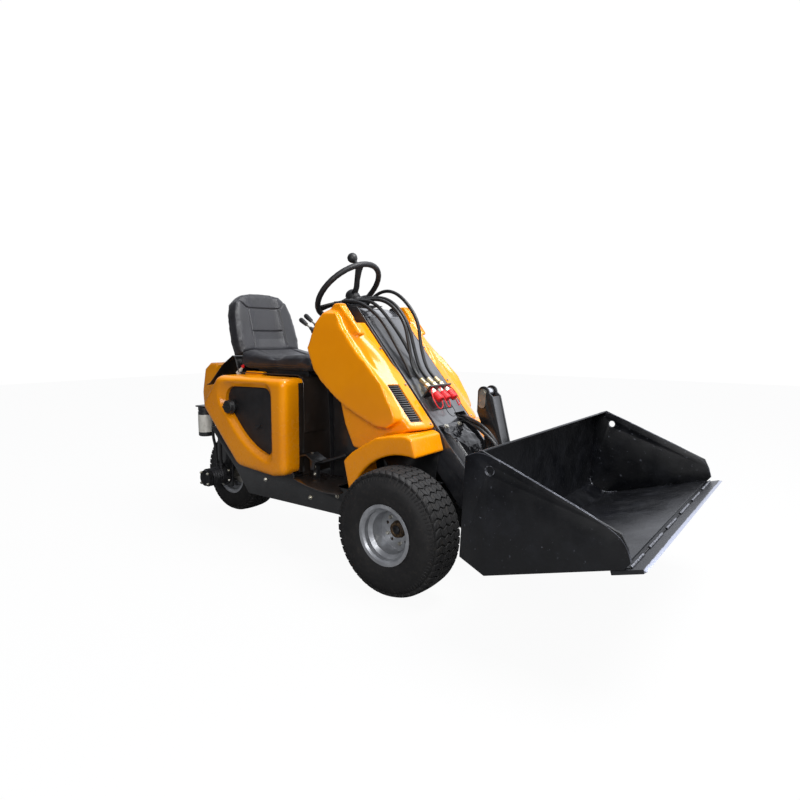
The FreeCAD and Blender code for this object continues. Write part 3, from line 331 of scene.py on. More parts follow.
# %% Bare and plated metal
def metal(name, dark, light, rough, stretch=None, grain=300, relief=0.25, metallic=0.86):
    f = Finish(name)
    stain = f.noise(24, 5, 0.65).between(0.35, 0.75)
    colour = f.blend(stain, dark, light)
    streak = f.noise(grain, 3, 0.5, stretch=stretch)
    level = f.noise(50, 3).between(0.3, 0.7) * 0.14 + rough + stain * 0.06
    return f.wear(colour, level, streak, 0.0003, relief, f.noise(8, 2) * 0.1 + metallic)


for slot, settings in {
    "bare_steel": ("worn steel edge", shade(112, 108, 104), shade(176, 176, 178), 0.36, (1, 12, 1)),
    "rim_paint": ("silver rim coat", shade(146, 148, 152), shade(176, 178, 182), 0.32, None, 700, 0.15,
                  0.55),
    "zinc": ("zinc plate", shade(168, 164, 152), shade(205, 203, 196), 0.26, None, 500, 0.2),
    "chrome_rod": ("chromed rod", shade(196, 198, 202), shade(226, 228, 232), 0.05, (1, 1, 10), 200, 0.05),
    "cast_block": ("dark cast iron", shade(50, 50, 52), shade(76, 76, 78), 0.5, None, 260, 0.7),
}.items():
    FINISHES[slot] = metal(*settings)
brass = metal("pale brass", shade(176, 160, 122), shade(214, 202, 168), 0.28, None, 400, 0.2)
# A lighter copy of the rim paint for the barrel steps: a painted highlight.
barrel_painted_highlight = metal("rim paint lightened as painted highlight", shade(206, 208, 211), shade(228, 230, 232), 0.28, None, 700, 0.15,
                   0.3)
# Pale metal for the bucket's rim edges: rubbed paint, and a painted highlight along the edges.
edge_highlight_and_rub = metal("plate edge with rub and painted highlight", shade(66, 68, 76), shade(112, 114, 122), 0.4, None, 200, 0.3, 0.5)
print("metals", len(FINISHES))


# %% [markdown]
# Rubber, plastic and vinyl each mix two close tones and carry a grain. Tyre rubber is rough and dusty,
# a hose is smoother, the flap is glossy, and the seat's vinyl has a leather-like grain from the borders
# of small cells.

# %% Rubber and plastic
def rubber(name, dark, light, rough, grain, relief, dust=0.0):
    f = Finish(name, Specular_IOR_Level=0.4)
    mottle = f.noise(26, 4, 0.6)
    colour = f.blend(mottle.between(0.3, 0.7), dark, light)
    if dust:
        colour = f.blend(f.noise(60, 5, 0.7).between(0.5, 0.75) * dust, colour, shade(104, 94, 82))
    level = f.noise(16, 3).between(0.3, 0.7) * 0.12 + rough
    return f.wear(colour, level, f.noise(grain, 3), 0.0005, relief)


for slot, settings in {
    "tyre": ("tyre rubber", shade(15, 15, 16), shade(24, 23, 24), 0.64, 240, 0.4, 0.12),
    "hose_rubber": ("hose rubber", shade(22, 22, 23), shade(33, 33, 34), 0.34, 500, 0.25),
    "black_plastic": ("black moulding", shade(26, 26, 28), shade(36, 36, 38), 0.42, 1200, 0.5),
    "flap_rubber": ("glossy flap sheet", shade(14, 14, 16), shade(22, 22, 25), 0.08, 90, 0.25),
    "red_cap": ("red dust cap", shade(196, 18, 28), shade(218, 34, 42), 0.36, 600, 0.25),
}.items():
    FINISHES[slot] = rubber(*settings)
print("made", FINISHES["tyre"].name)


# %% Seat vinyl
def seat_vinyl():
    f = Finish("black seat vinyl", Specular_IOR_Level=0.45, Sheen_Weight=0.08)
    grain = f.cells(620, "F2") - f.cells(620)
    colour = f.blend(f.noise(10, 3).between(0.3, 0.7), shade(24, 24, 28), shade(34, 34, 39))
    rough = f.noise(30, 3).between(0.3, 0.7) * 0.1 + 0.33
    return f.wear(colour, rough, grain.between(0.0, 0.35), 0.0003, 0.5)


FINISHES["seat_vinyl"] = seat_vinyl()
print("finishes", sorted(FINISHES))

# %% [markdown]
# ## Hoses
# Three hoses feed the quick couplers on the boom, two go into it, two reach the bucket cylinder and two
# the rear motor. Each is a smooth NURBS curve through the air with a round section, made a mesh. On the
# machine the first part of a boom hose stands still, the rest goes up with the boom, and the stretch
# between them bends.

# %% Smooth routes
def smooth_path(points):
    """The points that a NURBS curve of order 3 follows, and the curve itself."""
    curve = bpy.data.curves.new("route", "CURVE")
    curve.dimensions = "3D"
    spline = curve.splines.new("NURBS")
    spline.points.add(len(points) - 1)
    for spot, point in zip(spline.points, points):
        spot.co = (*at(*point), 1)
    spline.order_u, spline.use_endpoint_u, spline.resolution_u = 3, True, 14
    route = bpy.data.objects.new("route", curve)
    bpy.context.scene.collection.objects.link(route)
    line = bpy.data.meshes.new_from_object(route)
    path = [v.co.copy() for v in line.vertices]
    bpy.data.meshes.remove(line)
    return route, path


def length_of(path):
    return sum((b - a).length for a, b in zip(path, path[1:]))


HOSE_DIAMETER = 0.016


# %% Hose maker
def hose(name, points):
    """A round tube along a route, and the points that it follows."""
    route, path = smooth_path(points)
    route.data.bevel_depth, route.data.bevel_resolution = HOSE_DIAMETER / 2, 4
    route.data.use_fill_caps = True
    tube = bpy.data.objects.new(name, bpy.data.meshes.new_from_object(route))
    bpy.data.objects.remove(route)
    bpy.context.scene.collection.objects.link(tube)
    chosen(tube)
    bpy.ops.object.mode_set(mode="EDIT")
    bpy.ops.mesh.select_all(action="SELECT")
    bpy.ops.mesh.remove_doubles(threshold=0.00005)
    bpy.ops.mesh.normals_make_consistent(inside=False)
    bpy.ops.object.mode_set(mode="OBJECT")
    bpy.ops.object.shade_smooth_by_angle(angle=math.radians(50))
    tube.data.materials.clear()
    tube.data.materials.append(FINISHES["hose_rubber"])
    return tube, path


def laid(name, points, node, start, end):
    """A hose along a route, in place of a CAD node."""
    tube, path = hose(name, points)
    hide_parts(node)
    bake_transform(tube)
    round(length_of(path), 3)
    print(tube.name, round(length_of(path), 3))


print("a hose is", HOSE_DIAMETER * 1000, "mm across")

# %% Hoses over the boom
BOOM_HOSES = [
    [(-512, 56, 1150), (-452, 52, 1208), (-325, 42, 1210), (-200, 38, 1085), (-182, 35, 950),
     (-141.5, 30, 845.7), (-98, 30, 812)],
    [(-516, -48, 1160), (-430, -46, 1176), (-295, -42, 1170), (-200, -36, 1063), (-170, -30, 935),
     (-141.5, -25, 845.7), (-98, -25, 812)],
    [(-516.6, -67, 1158), (-430, -66, 1166), (-300, -65, 1163), (-195, -72, 1070), (-166, -76, 955),
     (-141.5, -80, 845.7), (-98, -80, 812)],
    [(-517, -89, 1160), (-440, -86, 1163), (-350, -78, 1152), (-243, -70, 1033), (-176, -63, 935),
     (-145, -56, 866), (-133.3, -53, 825.8)],
    [(-517.3, -112, 1160), (-445, -112, 1160), (-365, -109, 1128), (-280, -108, 1060), (-198, -106, 935),
     (-155, -106, 872), (-131, -106, 824.3)],
]
for number, points in enumerate(BOOM_HOSES, 1):
    laid(f"boom_hose_{number}", points, "aux_hoses",
         at(-500, points[0][1], 1160), at(-175, points[-1][1], 930))

# %% Hoses to the bucket cylinder
TILT_HOSES = [
    [(-94.7, 100, 721.2), (-30, 100, 636), (36, 68, 650), (128, -62, 664), (216, -78, 634), (278, -80, 562),
     (256, -66, 480), (221.7, -49.1, 441.5)],
    [(-94.7, 72, 721.2), (-30, 72, 636), (50, 56, 636), (148, -70, 644), (222, -90, 612), (292, -93, 550),
     (266.7, -61.5, 447.1), (224.4, -49.1, 403.6)],
]
for number, points in enumerate(TILT_HOSES, 1):
    laid(f"bucket_hose_{number}", points, "tilt_hoses",
         at(60, points[2][1], 640), at(275, -80, 500))

# %% Hoses to the rear motor
REAR_HOSES = [
    [(-1388, -170, 313), (-1388, -170, 372), (-1370, -180, 450), (-1352, -172, 530), (-1352, -172, 601.7)],
    [(-1428, -170, 313), (-1428, -170, 375), (-1438, -184, 455), (-1425, -176, 535), (-1425, -176, 601.7)],
]
for number, points in enumerate(REAR_HOSES, 1):
    laid(f"rear_hose_{number}", points[::-1], "rear_hoses",
         at(points[-1][0], -172, 560), at(points[1][0], -172, 380))

# %% [markdown]
# ## Modelling by hand, in code
# A piece starts as a primitive and is shaped in edit mode. Four moves cover most of this machine: a
# flat outline pushed into a slab, a section spun about an axle, a block set on its eight corners, and
# a bolt. Each leaves its object at the origin with its place in the mesh, so patterns keep their place.

# %% Editing, modifiers and edges
def edited(piece, *steps):
    """Runs edit-mode operators on all of a piece, then makes its faces point outwards."""
    chosen(piece)
    bpy.ops.object.mode_set(mode="EDIT")
    bpy.ops.mesh.select_all(action="SELECT")
    for step in steps:
        step()
    bpy.ops.mesh.select_all(action="SELECT")
    bpy.ops.mesh.remove_doubles(threshold=0.00002)
    bpy.ops.mesh.normals_make_consistent(inside=False)
    bpy.ops.object.mode_set(mode="OBJECT")
    return piece


def modified(piece, kind, **settings):
    """Adds a modifier and applies it."""
    chosen(piece)
    modifier = piece.modifiers.new(kind.title(), kind)
    for key, value in settings.items():
        setattr(modifier, key, value)
    bpy.ops.object.modifier_apply(modifier=modifier.name)
    return piece


def eased(piece, width, segments=2, angle=30):
    """Rounds every sharp edge of a piece, width in millimetres, and shades it smooth."""
    if width:
        modified(piece, "BEVEL", width=width / 1000, segments=segments, limit_method="ANGLE",
                 angle_limit=math.radians(angle), use_clamp_overlap=True, harden_normals=False)
    chosen(piece)
    bpy.ops.object.shade_smooth_by_angle(angle=math.radians(38))
    return piece


def started(name, maker, **settings):
    """A new primitive from an operator, with nothing else selected."""
    unselected()
    maker(**settings)
    bpy.context.active_object.name = name
    return bpy.context.active_object


print("edges are rounded where faces meet at more than 30 degrees")


# %% Slab
def pushed(piece, way):
    """Extrudes a flat face along a vector in metres."""
    return edited(piece, lambda: bpy.ops.mesh.extrude_region_move(TRANSFORM_OT_translate={"value": way}))


def slab(name, outline, y0, y1, width=0.0, segments=2):
    """A side-view outline of (x, z) points, pushed from y0 to y1."""
    piece = started(name, bpy.ops.mesh.primitive_circle_add, vertices=len(outline), radius=1,
                    fill_type="NGON")
    for vertex, (x, z) in zip(piece.data.vertices, outline):
        vertex.co = at(x, y0, z)
    return eased(pushed(piece, (0, (y1 - y0) / 1000, 0)), width, segments)


# %% Spun ring
def spun(name, section, centre, axis=(0, 1, 0), steps=48, sharp=38):
    """A closed section of (along, radius) points, spun about an axis through centre."""
    piece = started(name, bpy.ops.mesh.primitive_circle_add, vertices=len(section), radius=1,
                    fill_type="NOTHING")
    for vertex, (along, radius) in zip(piece.data.vertices, section):
        vertex.co = (radius / 1000, 0, along / 1000)
    edited(piece, lambda: bpy.ops.mesh.spin(steps=steps, angle=math.tau, center=(0, 0, 0), axis=(0, 0, 1)))
    turn = Vector((0, 0, 1)).rotation_difference(Vector(axis)).to_matrix().to_4x4()
    piece.data.transform(Matrix.Translation(at(*centre)) @ turn)
    chosen(piece)
    bpy.ops.object.shade_smooth_by_angle(angle=math.radians(sharp))
    return piece


# %% Block
def block(name, corners, width=0.0):
    """A cube set on eight corners: four below, then the four above them."""
    piece = started(name, bpy.ops.mesh.primitive_cube_add, size=2)
    order = {(-1, -1): 0, (1, -1): 1, (1, 1): 2, (-1, 1): 3}
    for vertex in piece.data.vertices:
        x, y, z = (round(c) for c in vertex.co)
        vertex.co = corners[order[x, y] + (4 if z > 0 else 0)]
    return eased(edited(piece), width, 1)


# %% Joining, mirroring and dressing
def joined(name, pieces):
    """Several pieces as one."""
    unselected()
    for piece in pieces:
        piece.select_set(True)
    bpy.context.view_layer.objects.active = pieces[0]
    bpy.ops.object.join()
    pieces[0].name = name
    return pieces[0]


def copied(piece, name):
    """A copy with its own mesh."""
    other = piece.copy()
    other.data = piece.data.copy()
    other.name = name
    bpy.context.scene.collection.objects.link(other)
    return other


def twin(piece, name):
    """The piece's mirror image across the middle of the machine."""
    other = copied(piece, name)
    other.data.transform(Matrix.Scale(-1, 4, (0, 1, 0)))
    other.data.flip_normals()
    return other


def dressed(piece, slot, body="chassis", replaces=(), finish=None):
    """Gives a finished piece its material, its body and the CAD nodes that it stands for."""
    piece.data.materials.clear()
    piece.data.materials.append(finish or FINISHES[slot])
    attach(piece, body)
    if replaces:
        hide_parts(*replaces)
    print(piece.name, len(piece.data.polygons), "faces on", body)
    return piece


def fitted(name, pieces, slot, body="chassis", replaces=(), finish=None):
    """Several pieces joined as one, and dressed."""
    return dressed(joined(name, pieces), slot, body, replaces, finish)


# %% [markdown]
# ## Moulded skins
# The cowls, mudguards and side covers are moulded, so no edge on them is crisp. Rounding each edge with
# a bevel breaks where many meet at odd angles. Instead the outer shape is put together from simple
# closed blocks, remeshed into small even faces and relaxed, which rounds everything at once. A slightly
# smaller copy then hollows it, and a boolean opens what is open on the real skin.

# %% Moulding tools
def cut_by(piece, tool):
    """Cuts a tool out of a piece, and stops if the boolean has lost the piece."""
    before = len(piece.data.polygons)
    modified(piece, "BOOLEAN", object=tool, operation="DIFFERENCE", solver="EXACT")
    if len(piece.data.polygons) < before * 0.4:
        raise ValueError("the cut lost %s" % piece.name)
    bpy.data.objects.remove(tool)
    return piece


def relaxed(piece, voxel, passes, keep):
    """Remeshes a closed piece and relaxes it, then thins its faces to a share of their number."""
    modified(piece, "REMESH", mode="VOXEL", voxel_size=voxel / 1000, use_smooth_shade=True)
    modified(piece, "SMOOTH", factor=0.6, iterations=passes)
    if keep < 1:
        modified(piece, "DECIMATE", ratio=keep)
    return piece


def hollowed(piece, wall, opening):
    """Takes a copy out of a piece that is smaller by the wall; opening moves the copy's vertices."""
    core = copied(piece, "core")
    modified(core, "DISPLACE", strength=-wall / 1000, mid_level=0.0)
    for vertex in core.data.vertices:
        opening(vertex)
    return cut_by(piece, core)


def tapered(name, inner, outer, y0s, y1s):
    """A closed lump between two side-view outlines of as many points, each point at its own y."""
    piece = slab(name, inner, 0, 10)
    count = len(inner)
    spots = [at(x, y, z) for (x, z), y in zip(inner, y0s)] + [at(x, y, z) for (x, z), y in zip(outer, y1s)]
    for vertex in piece.data.vertices:
        far = vertex.co.y > 0.005
        i = min(range(count), key=lambda i: (vertex.co - at(inner[i][0], 10 * far, inner[i][1])).length)
        vertex.co = spots[i + count * far]
    return edited(piece, lambda: bpy.ops.mesh.quads_convert_to_tris())


# %% [markdown]
# Seams, creases and dishes are pressed into a finished surface by moving its vertices along their
# normals. A depth written as a sum of soft grooves and ramps is easier to adjust than a sculpted one.

# %% Pressed detail
def pressed(piece, depth_at):
    """Moves each vertex inwards along its normal by depth_at(x, y, z, normal) millimetres."""
    normals = [v.normal.copy() for v in piece.data.vertices]
    for vertex, normal in zip(piece.data.vertices, normals):
        spot = ((vertex.co.x - AXLE_X) * 1000, vertex.co.y * 1000, vertex.co.z * 1000)
        vertex.co -= normal * (depth_at(*spot, normal) / 1000)
    piece.data.update()


def groove(distance, width):
    """1 in the middle of a line, falling smoothly to 0 at its edges."""
    return max(0.0, 1 - (distance / width) ** 2) ** 2


def ramp(value, low, high):
    share = min(1.0, max(0.0, (value - low) / (high - low)))
    return share * share * (3 - 2 * share)


# %% [markdown]
# The cowl is one such skin. A slab fills the space beside the boom, a lobe rises at its top, and a pod
# with its own sloping ridge stands out from the flank. Relaxing them together gives the soft valley
# between lobe and pod. The flat strip beside the boom and the crease along it are pressed in last.

# %% Cowls beside the boom
cowl_side = [(-345, 1064), (-400, 1097), (-480, 1096), (-505, 1070), (-550, 950), (-496, 812), (-405, 740),
             (-374, 620), (-326, 521), (-267, 516), (-138, 590), (18, 622), (12, 636)]
lobe_side = [(-348, 1075), (-386, 1122), (-404, 1143), (-442, 1143), (-486, 1098), (-510, 1000),
             (-300, 1010)]
pod_rim = [(-410, 1100), (-484, 1101), (-522, 1058), (-564, 947), (-526, 849), (-474, 795), (-408, 742),
           (-343, 699), (-281, 670), (-221, 645), (-178, 628), (-116, 624), (-78, 648), (-72, 674),
           (-100, 738),
           (-144, 809), (-206, 875), (-288, 944), (-382, 1050)]
pod_y = [286, 288, 296, 306, 308, 308, 308, 308, 308, 308, 308, 308, 310, 312, 310, 307, 303, 296, 288]

# The front plane stands on FOOT_Z and rises by SLOPE for each millimetre back. FORWARD and UPWARD are
# its normal in the side view.
FOOT_Z, SLOPE = 647, 1.22
FORWARD, UPWARD = 0.77, 0.63


def off_plane(x, z):
    """How far a side-view point lies in front of the cowl's sloping front plane."""
    return (x - (FOOT_Z - z) / SLOPE) * FORWARD


def front_bulge(piece):
    """Turns the front plane back towards the flank, outside a flat strip."""
    for vertex in piece.data.vertices:
        x, y, z = (vertex.co.x - AXLE_X) * 1000, abs(vertex.co.y) * 1000, vertex.co.z * 1000
        front = ramp(off_plane(x, z), -70, -5)
        vertex.co.x -= front * max(0.0, y - 196) ** 1.25 * 0.2 / 1000


def foot_of(x, z):
    """Where the pod's edge point starts inside the slab: at the front face or above the lower edge."""
    lift = -30 - off_plane(x, z)
    return (x + lift * FORWARD, z + lift * UPWARD) if lift < 40 else (x + 8, z + 16)


pod_foot = [foot_of(x, z) for x, z in pod_rim]
cowl = slab("cowl", cowl_side, 120, 272)
modified(cowl, "REMESH", mode="VOXEL", voxel_size=0.006)
front_bulge(cowl)
lobe = slab("lobe", lobe_side, 214, 256)
pod = tapered("pod", pod_foot, pod_rim, [250] * len(pod_rim), pod_y)
cowl = joined("cowl_skin_left", [cowl, lobe, pod])
relaxed(cowl, 5.0, 14, 1)


def strip_depth(x, y, z, normal):
    """The strip by the boom lies lower than the swelling beside it; a valley runs below the ridge."""
    y = abs(y)
    front = ramp(normal.x, 0.3, 0.6)
    crease = 149 + (z - 833) / 217 * 76
    strip = 9 * ramp(crease - y, -5, 5) * ramp(z, 835, 905)
    swell = -6 * groove(y - crease - 30, 40) * ramp(z, 820, 940)
    valley = 9 * groove(y - 268 + (z - 900) * 0.03, 24) * ramp(z, 800, 900)
    return front * (strip + swell + valley)


pressed(cowl, strip_depth)
modified(cowl, "SMOOTH", factor=0.5, iterations=2)
modified(cowl, "DECIMATE", ratio=0.35)
cut_by(cowl, slab("beside_boom", [(-700, 400), (200, 400), (200, 1300), (-700, 1300)], 60, 152.3))
cut_by(cowl, slab("notch", [(-300, 1058), (-640, 1058), (-640, 1250), (-300, 1250)], 100, 208))
knee = [(-488, 1090), (-541, 950), (-490, 815), (-399, 743), (-368, 622), (-322, 532)]
cut_by(cowl, slab("knee", [(x + 5.3, z) for x, z in knee] + [(-335, 480), (-660, 480), (-660, 1090)], 140,
                  268))
right_cowl = twin(cowl, "cowl_skin_right")


def open_inside(piece, wall=4.5):
    """Hollows a cowl from the side that faces the boom."""
    def opening(vertex):
        if abs(vertex.co.y) < 0.17:
            vertex.co.y -= math.copysign(0.06, vertex.co.y)
    return eased(hollowed(piece, wall, opening), 0)


# %% Grille in the right cowl, slot in the left one
def on_front(across, z, lift=0.0):
    """A point on the cowl's front face, |y| out from the middle, raised by lift."""
    back = max(0.0, across - 196) ** 1.25 * 0.2
    return Vector(((FOOT_Z - z) / SLOPE - back + lift * FORWARD, -across, z + lift * UPWARD))


def panel(name, across, heights, low, high, width=0.6):
    """A block that stands on the front face between two distances out and two heights."""
    ring = [(across[0], heights[0]), (across[0], heights[1]), (across[1], heights[1]),
            (across[1], heights[0])]
    return block(name, [at(*on_front(a, z, lift)) for lift in (low, high) for a, z in ring], width)


cut_by(right_cowl, panel("grille_cut", (203, 250), (652, 800), -14, 12, 0))
open_inside(right_cowl)
dressed(right_cowl, "yellow_paint", replaces=["cowl_right"])
grille = [panel("grille_back", (200, 253), (648, 804), -12, -9)]
for number in range(17):
    z = 656 + number * 8.6
    grille.append(panel("slat", (203, 250), (z, z + 4.2), -9.5, -3.5, 0.8))
fitted("cowl_grille", grille, "black_plastic")
slot = slab("slot", [(-290, 1000), (-340, 1060), (-310, 1075), (-260, 1012)], 222, 238, 4, 3)
cut_by(cowl, slot)
open_inside(cowl)
dressed(cowl, "yellow_paint", replaces=["cowl_left"])

# %% [markdown]
# The mudguards follow an arch round the front tyres. Their block is bevelled, relaxed and hollowed from
# below by the shape of the wheel well, so that the skin keeps an even thickness over the tyre.

# %% Mudguards
ARCH = 285.0


def on_arch(degrees, radius):
    return radius * math.cos(math.radians(degrees)), FRONT_RADIUS + radius * math.sin(math.radians(degrees))


guard_top = [(-312, 478), (-270, 517), (-206, 556), (-138, 594), (-62, 609), (14, 616), (42, 604),
             (62, 536)]
guard_outline = [on_arch(163, ARCH + 5)] + guard_top + [on_arch(a, ARCH) for a in range(78, 163, 7)]
guard = slab("mudguard_left", guard_outline, 120, 352)
modified(guard, "BEVEL", width=0.03, segments=4, limit_method="ANGLE", angle_limit=math.radians(60))
relaxed(guard, 4.5, 20, 0.4)
well = slab("well", [on_arch(174, 262), (-300, 472), (-259, 506), (-199, 542), (-133, 576), (-59, 591),
                     (8, 598),
                     (26, 588), (42, 540)] + [on_arch(a, 262) for a in range(77, 174, 6)], 90, 336, 12, 3)
cut_by(guard, well)
cut_by(guard, slab("beside_boom", [(-500, 200), (200, 200), (200, 800), (-500, 800)], 60, 152.3))
eased(guard, 0)
other = twin(guard, "mudguard_right")
dressed(other, "yellow_paint", replaces=["fenders"])
dressed(guard, "yellow_paint", replaces=["fenders"])


# %% [markdown]
# Each side cover has a window whose edge flares inwards. The flare is cut as a lump that grows outwards,
# and the window goes through it after the relaxing, so its rim stays crisp.

# %% Side covers with their flared windows
COVER = [(-1190, 803), (-1323, 643), (-1045, 354), (-790, 333), (-694, 350), (-690, 803)]
WINDOW = [(-803, 756), (-1118, 751), (-1152, 672), (-1010, 516), (-915, 453), (-803, 418)]


def scaled(outline, share):
    middle = [sum(p[i] for p in outline) / len(outline) for i in (0, 1)]
    return [tuple(middle[i] + (p[i] - middle[i]) * share for i in (0, 1)) for p in outline]


def rounded(outline, reach, steps=6):
    """The outline with each corner turned into a curve that starts reach millimetres before it."""
    curve = []
    for i, corner in enumerate(outline):
        here = Vector(corner)
        before, after = (Vector(outline[(i + way) % len(outline)]) - here for way in (-1, 1))
        start = here + before.normalized() * min(reach, before.length * 0.45)
        end = here + after.normalized() * min(reach, after.length * 0.45)
        for step in range(steps):
            share = step / (steps - 1)
            curve.append(tuple(start.lerp(here, share).lerp(here.lerp(end, share), share)))
    return curve


opening = rounded(WINDOW, 52)
cover = slab("side_cover_left", COVER, 150, 336, 34, 5)
cut_by(cover, tapered("flare", scaled(opening, 0.9), scaled(opening, 1.26), [296] * len(opening),
                      [346] * len(opening)))
relaxed(cover, 4.5, 14, 1)
cut_by(cover, slab("window", opening, 230, 400))
modified(cover, "DECIMATE", ratio=0.4)
cover = hollowed(cover, 5.0, lambda vertex: setattr(vertex.co, "y",
                                                    vertex.co.y - 0.06 * (vertex.co.y < 0.2)))
cut_by(cover, slab("beside_frame", [(-1500, 250), (-703, 250), (-703, 560), (-1500, 560)], 100, 270.4))
cut_by(cover, slab("inner_side", [(-1500, 200), (-600, 200), (-600, 900), (-1500, 900)], 60, 205.0))
cut_by(cover, slab("inner_front", [(-730, 360), (-600, 360), (-600, 780), (-730, 780)], 60, 238.0))
eased(cover, 0)
dressed(twin(cover, "side_cover_right"), "yellow_paint", replaces=["rear_panel_right"])
dressed(cover, "yellow_paint", replaces=["rear_panel_left"])

# %% [markdown]
# ## Turf tyres
# A turf tyre has rows of low blocks that lean one way and then the other, so the grooves across the
# tread run as a zigzag, and a fringe of ribs below each shoulder. One pitch of the pattern is modelled
# and an array modifier carries it round the wheel, turned by an empty. That costs far less than cutting
# the grooves out of the tread, and each block keeps its own rounded edges.

# %% Tyre maker
def tread_radius(y, top):
    """How far the carcass reaches at y from the wheel's middle plane."""
    return top - 0.0009 * y * y - 9 * max(0.0, (abs(y) - 62) / 20) ** 2


def tyre(name, centre, outer, pitches):
    crown = outer - 9
    side = [(84, crown - 27), (92, crown - 42), (97, crown - 62), (98, crown - 80), (95, crown - 96),
            (90, 128),
            (86, 121), (82, 112), (79, 103)]
    half = [(y, tread_radius(y, crown)) for y in (0, 22, 44, 62, 74)] + side
    inner = [(70, 103), (74, 120), (84, 150), (83, crown - 50), (60, crown - 14), (0, crown - 10)]
    outline = half + inner + [(-y, r) for y, r in inner[-2::-1]] + [(-y, r) for y, r in half[:0:-1]]
    carcass = spun(name, outline, centre, steps=72, sharp=60)
    pitch = math.tau / pitches

    def corner(y, turn, radius):
        return at(centre[0] + radius * math.sin(turn), centre[1] + y, centre[2] + radius * math.cos(turn))

    blocks = []
    rows = 8
    for row in range(rows):
        y0 = -80 + row * 160 / rows
        y1 = y0 + 160 / rows - 1.5
        lean = pitch * 0.17 * (1 if row % 2 else -1)
        spots = []
        for lift in (-3, 8.5):
            for y, turn in ((y0, -lean), (y1, lean), (y1, lean + pitch * 0.8), (y0, -lean + pitch * 0.8)):
                spots.append(corner(y, turn, tread_radius(y, crown) + lift))
        blocks.append(block("lug", spots, 0.9))
    for way in (-1, 1):
        for number in range(2):
            turn = pitch * (0.5 * number + 0.1)
            spots = [corner(way * y, turn + step * pitch * 0.26, crown - drop + lift)
                     for lift in (-3, 5) for y, drop, step in ((81, 20, 0), (96, 62, 0), (96, 62, 1),
                                                               (81, 20, 1))]
            blocks.append(block("rib", spots, 1.2))
    tread = joined("tread", blocks)
    for vertex in tread.data.vertices:
        vertex.co -= at(*centre)
    hand = bpy.data.objects.new("hand", None)
    bpy.context.scene.collection.objects.link(hand)
    hand.rotation_euler = (0, pitch, 0)
    bpy.context.view_layer.update()
    modified(tread, "ARRAY", count=pitches, use_relative_offset=False, use_object_offset=True,
             offset_object=hand)
    bpy.data.objects.remove(hand)
    tread.data.transform(Matrix.Translation(at(*centre)))
    tread.data.update()
    return joined(name, [carcass, tread])


front = tyre("turf_tyre_left", FRONT_LEFT, FRONT_RADIUS, 48)
dressed(twin(front, "turf_tyre_right"), "tyre", "front_wheel_right", ["front_tyre_right"])
dressed(front, "tyre", "front_wheel_left", ["front_tyre_left"])
rear = tyre("turf_tyre_rear", REAR_WHEEL, REAR_RADIUS, 43)
dressed(rear, "tyre", "rear_wheel", ["rear_tyre"])

# %% [markdown]
# ## The seat
# The seat is vinyl over foam: a cushion with two swollen lobes at its front edge, and a backrest with
# padded side bolsters round a flatter middle. Each starts as a slightly small block that cloth pressure
# swells, which gives the taut crown and the pulled-in corners that a bevelled block lacks. The seams
# come afterwards, as narrow channels pressed into the finished surface.

# %% Foam maker
def foam(name, piece, swell, cap=16.0, voxel=5.0):
    """Swells a closed block like stuffed vinyl, no point by more than cap millimetres."""
    piece.name = name
    modified(piece, "REMESH", mode="VOXEL", voxel_size=voxel / 1000)
    modified(piece, "SMOOTH", factor=0.6, iterations=8)
    start = [v.co.copy() for v in piece.data.vertices]
    cloth = piece.modifiers.new("Foam", "CLOTH")
    cloth.settings.use_pressure = True
    cloth.settings.uniform_pressure_force = swell
    cloth.settings.effector_weights.gravity = 0
    cloth.settings.quality = 4
    for number in range(1, 21):
        bpy.context.scene.frame_set(number)
    chosen(piece)
    bpy.ops.object.modifier_apply(modifier="Foam")
    bpy.context.scene.frame_set(1)
    for vertex, rest in zip(piece.data.vertices, start):
        step = vertex.co - rest
        if step.length > cap / 1000:
            vertex.co = rest + step * (cap / 1000 / step.length)
    return modified(piece, "SMOOTH", factor=0.5, iterations=9)


def to_run(point, run):
    """The distance from a point to a run of straight pieces in the same plane."""
    best = 1e9
    for (ax, ay), (bx, by) in zip(run, run[1:]):
        across = (point[0] - ax) * (bx - ax) + (point[1] - ay) * (by - ay)
        share = min(1.0, max(0.0, across / ((bx - ax) ** 2 + (by - ay) ** 2)))
        best = min(best, math.hypot(point[0] - ax - share * (bx - ax), point[1] - ay - share * (by - ay)))
    return best


# %% Backrest
lean = math.radians(15.5)
BACK_FOOT = (-1150, 918)


def on_back(out, up):
    """A side-view point at a height up the backrest and a distance out in front of its rear face."""
    return (BACK_FOOT[0] - 62 - up * math.sin(lean) + out * math.cos(lean),
            BACK_FOOT[1] + up * math.cos(lean) + out * math.sin(lean))


half = [(206, -28), (216, 40), (212, 112), (202, 194), (180, 256), (133, 294), (72, 306)]
outline = [(-y, up) for y, up in half] + [(0, 309)] + half[::-1]
back = started("seat_backrest", bpy.ops.mesh.primitive_circle_add, vertices=len(outline), radius=1,
               fill_type="NGON")
for vertex, (y, up) in zip(back.data.vertices, outline):
    x, z = on_back(2, up)
    vertex.co = at(x, y, z)
pushed(back, (math.cos(lean) * 0.07, 0, math.sin(lean) * 0.07))
foam("seat_backrest", back, 4.0, 6)
modified(back, "SUBSURF", levels=1, render_levels=1)
BACK_SEAMS = [[(-170, 272), (-120, 222), (-100, 218), (100, 218), (120, 222), (170, 272)],
              [(-104, 218), (-112, 10)], [(104, 218), (112, 10)], [(-108, 92), (108, 92)]]


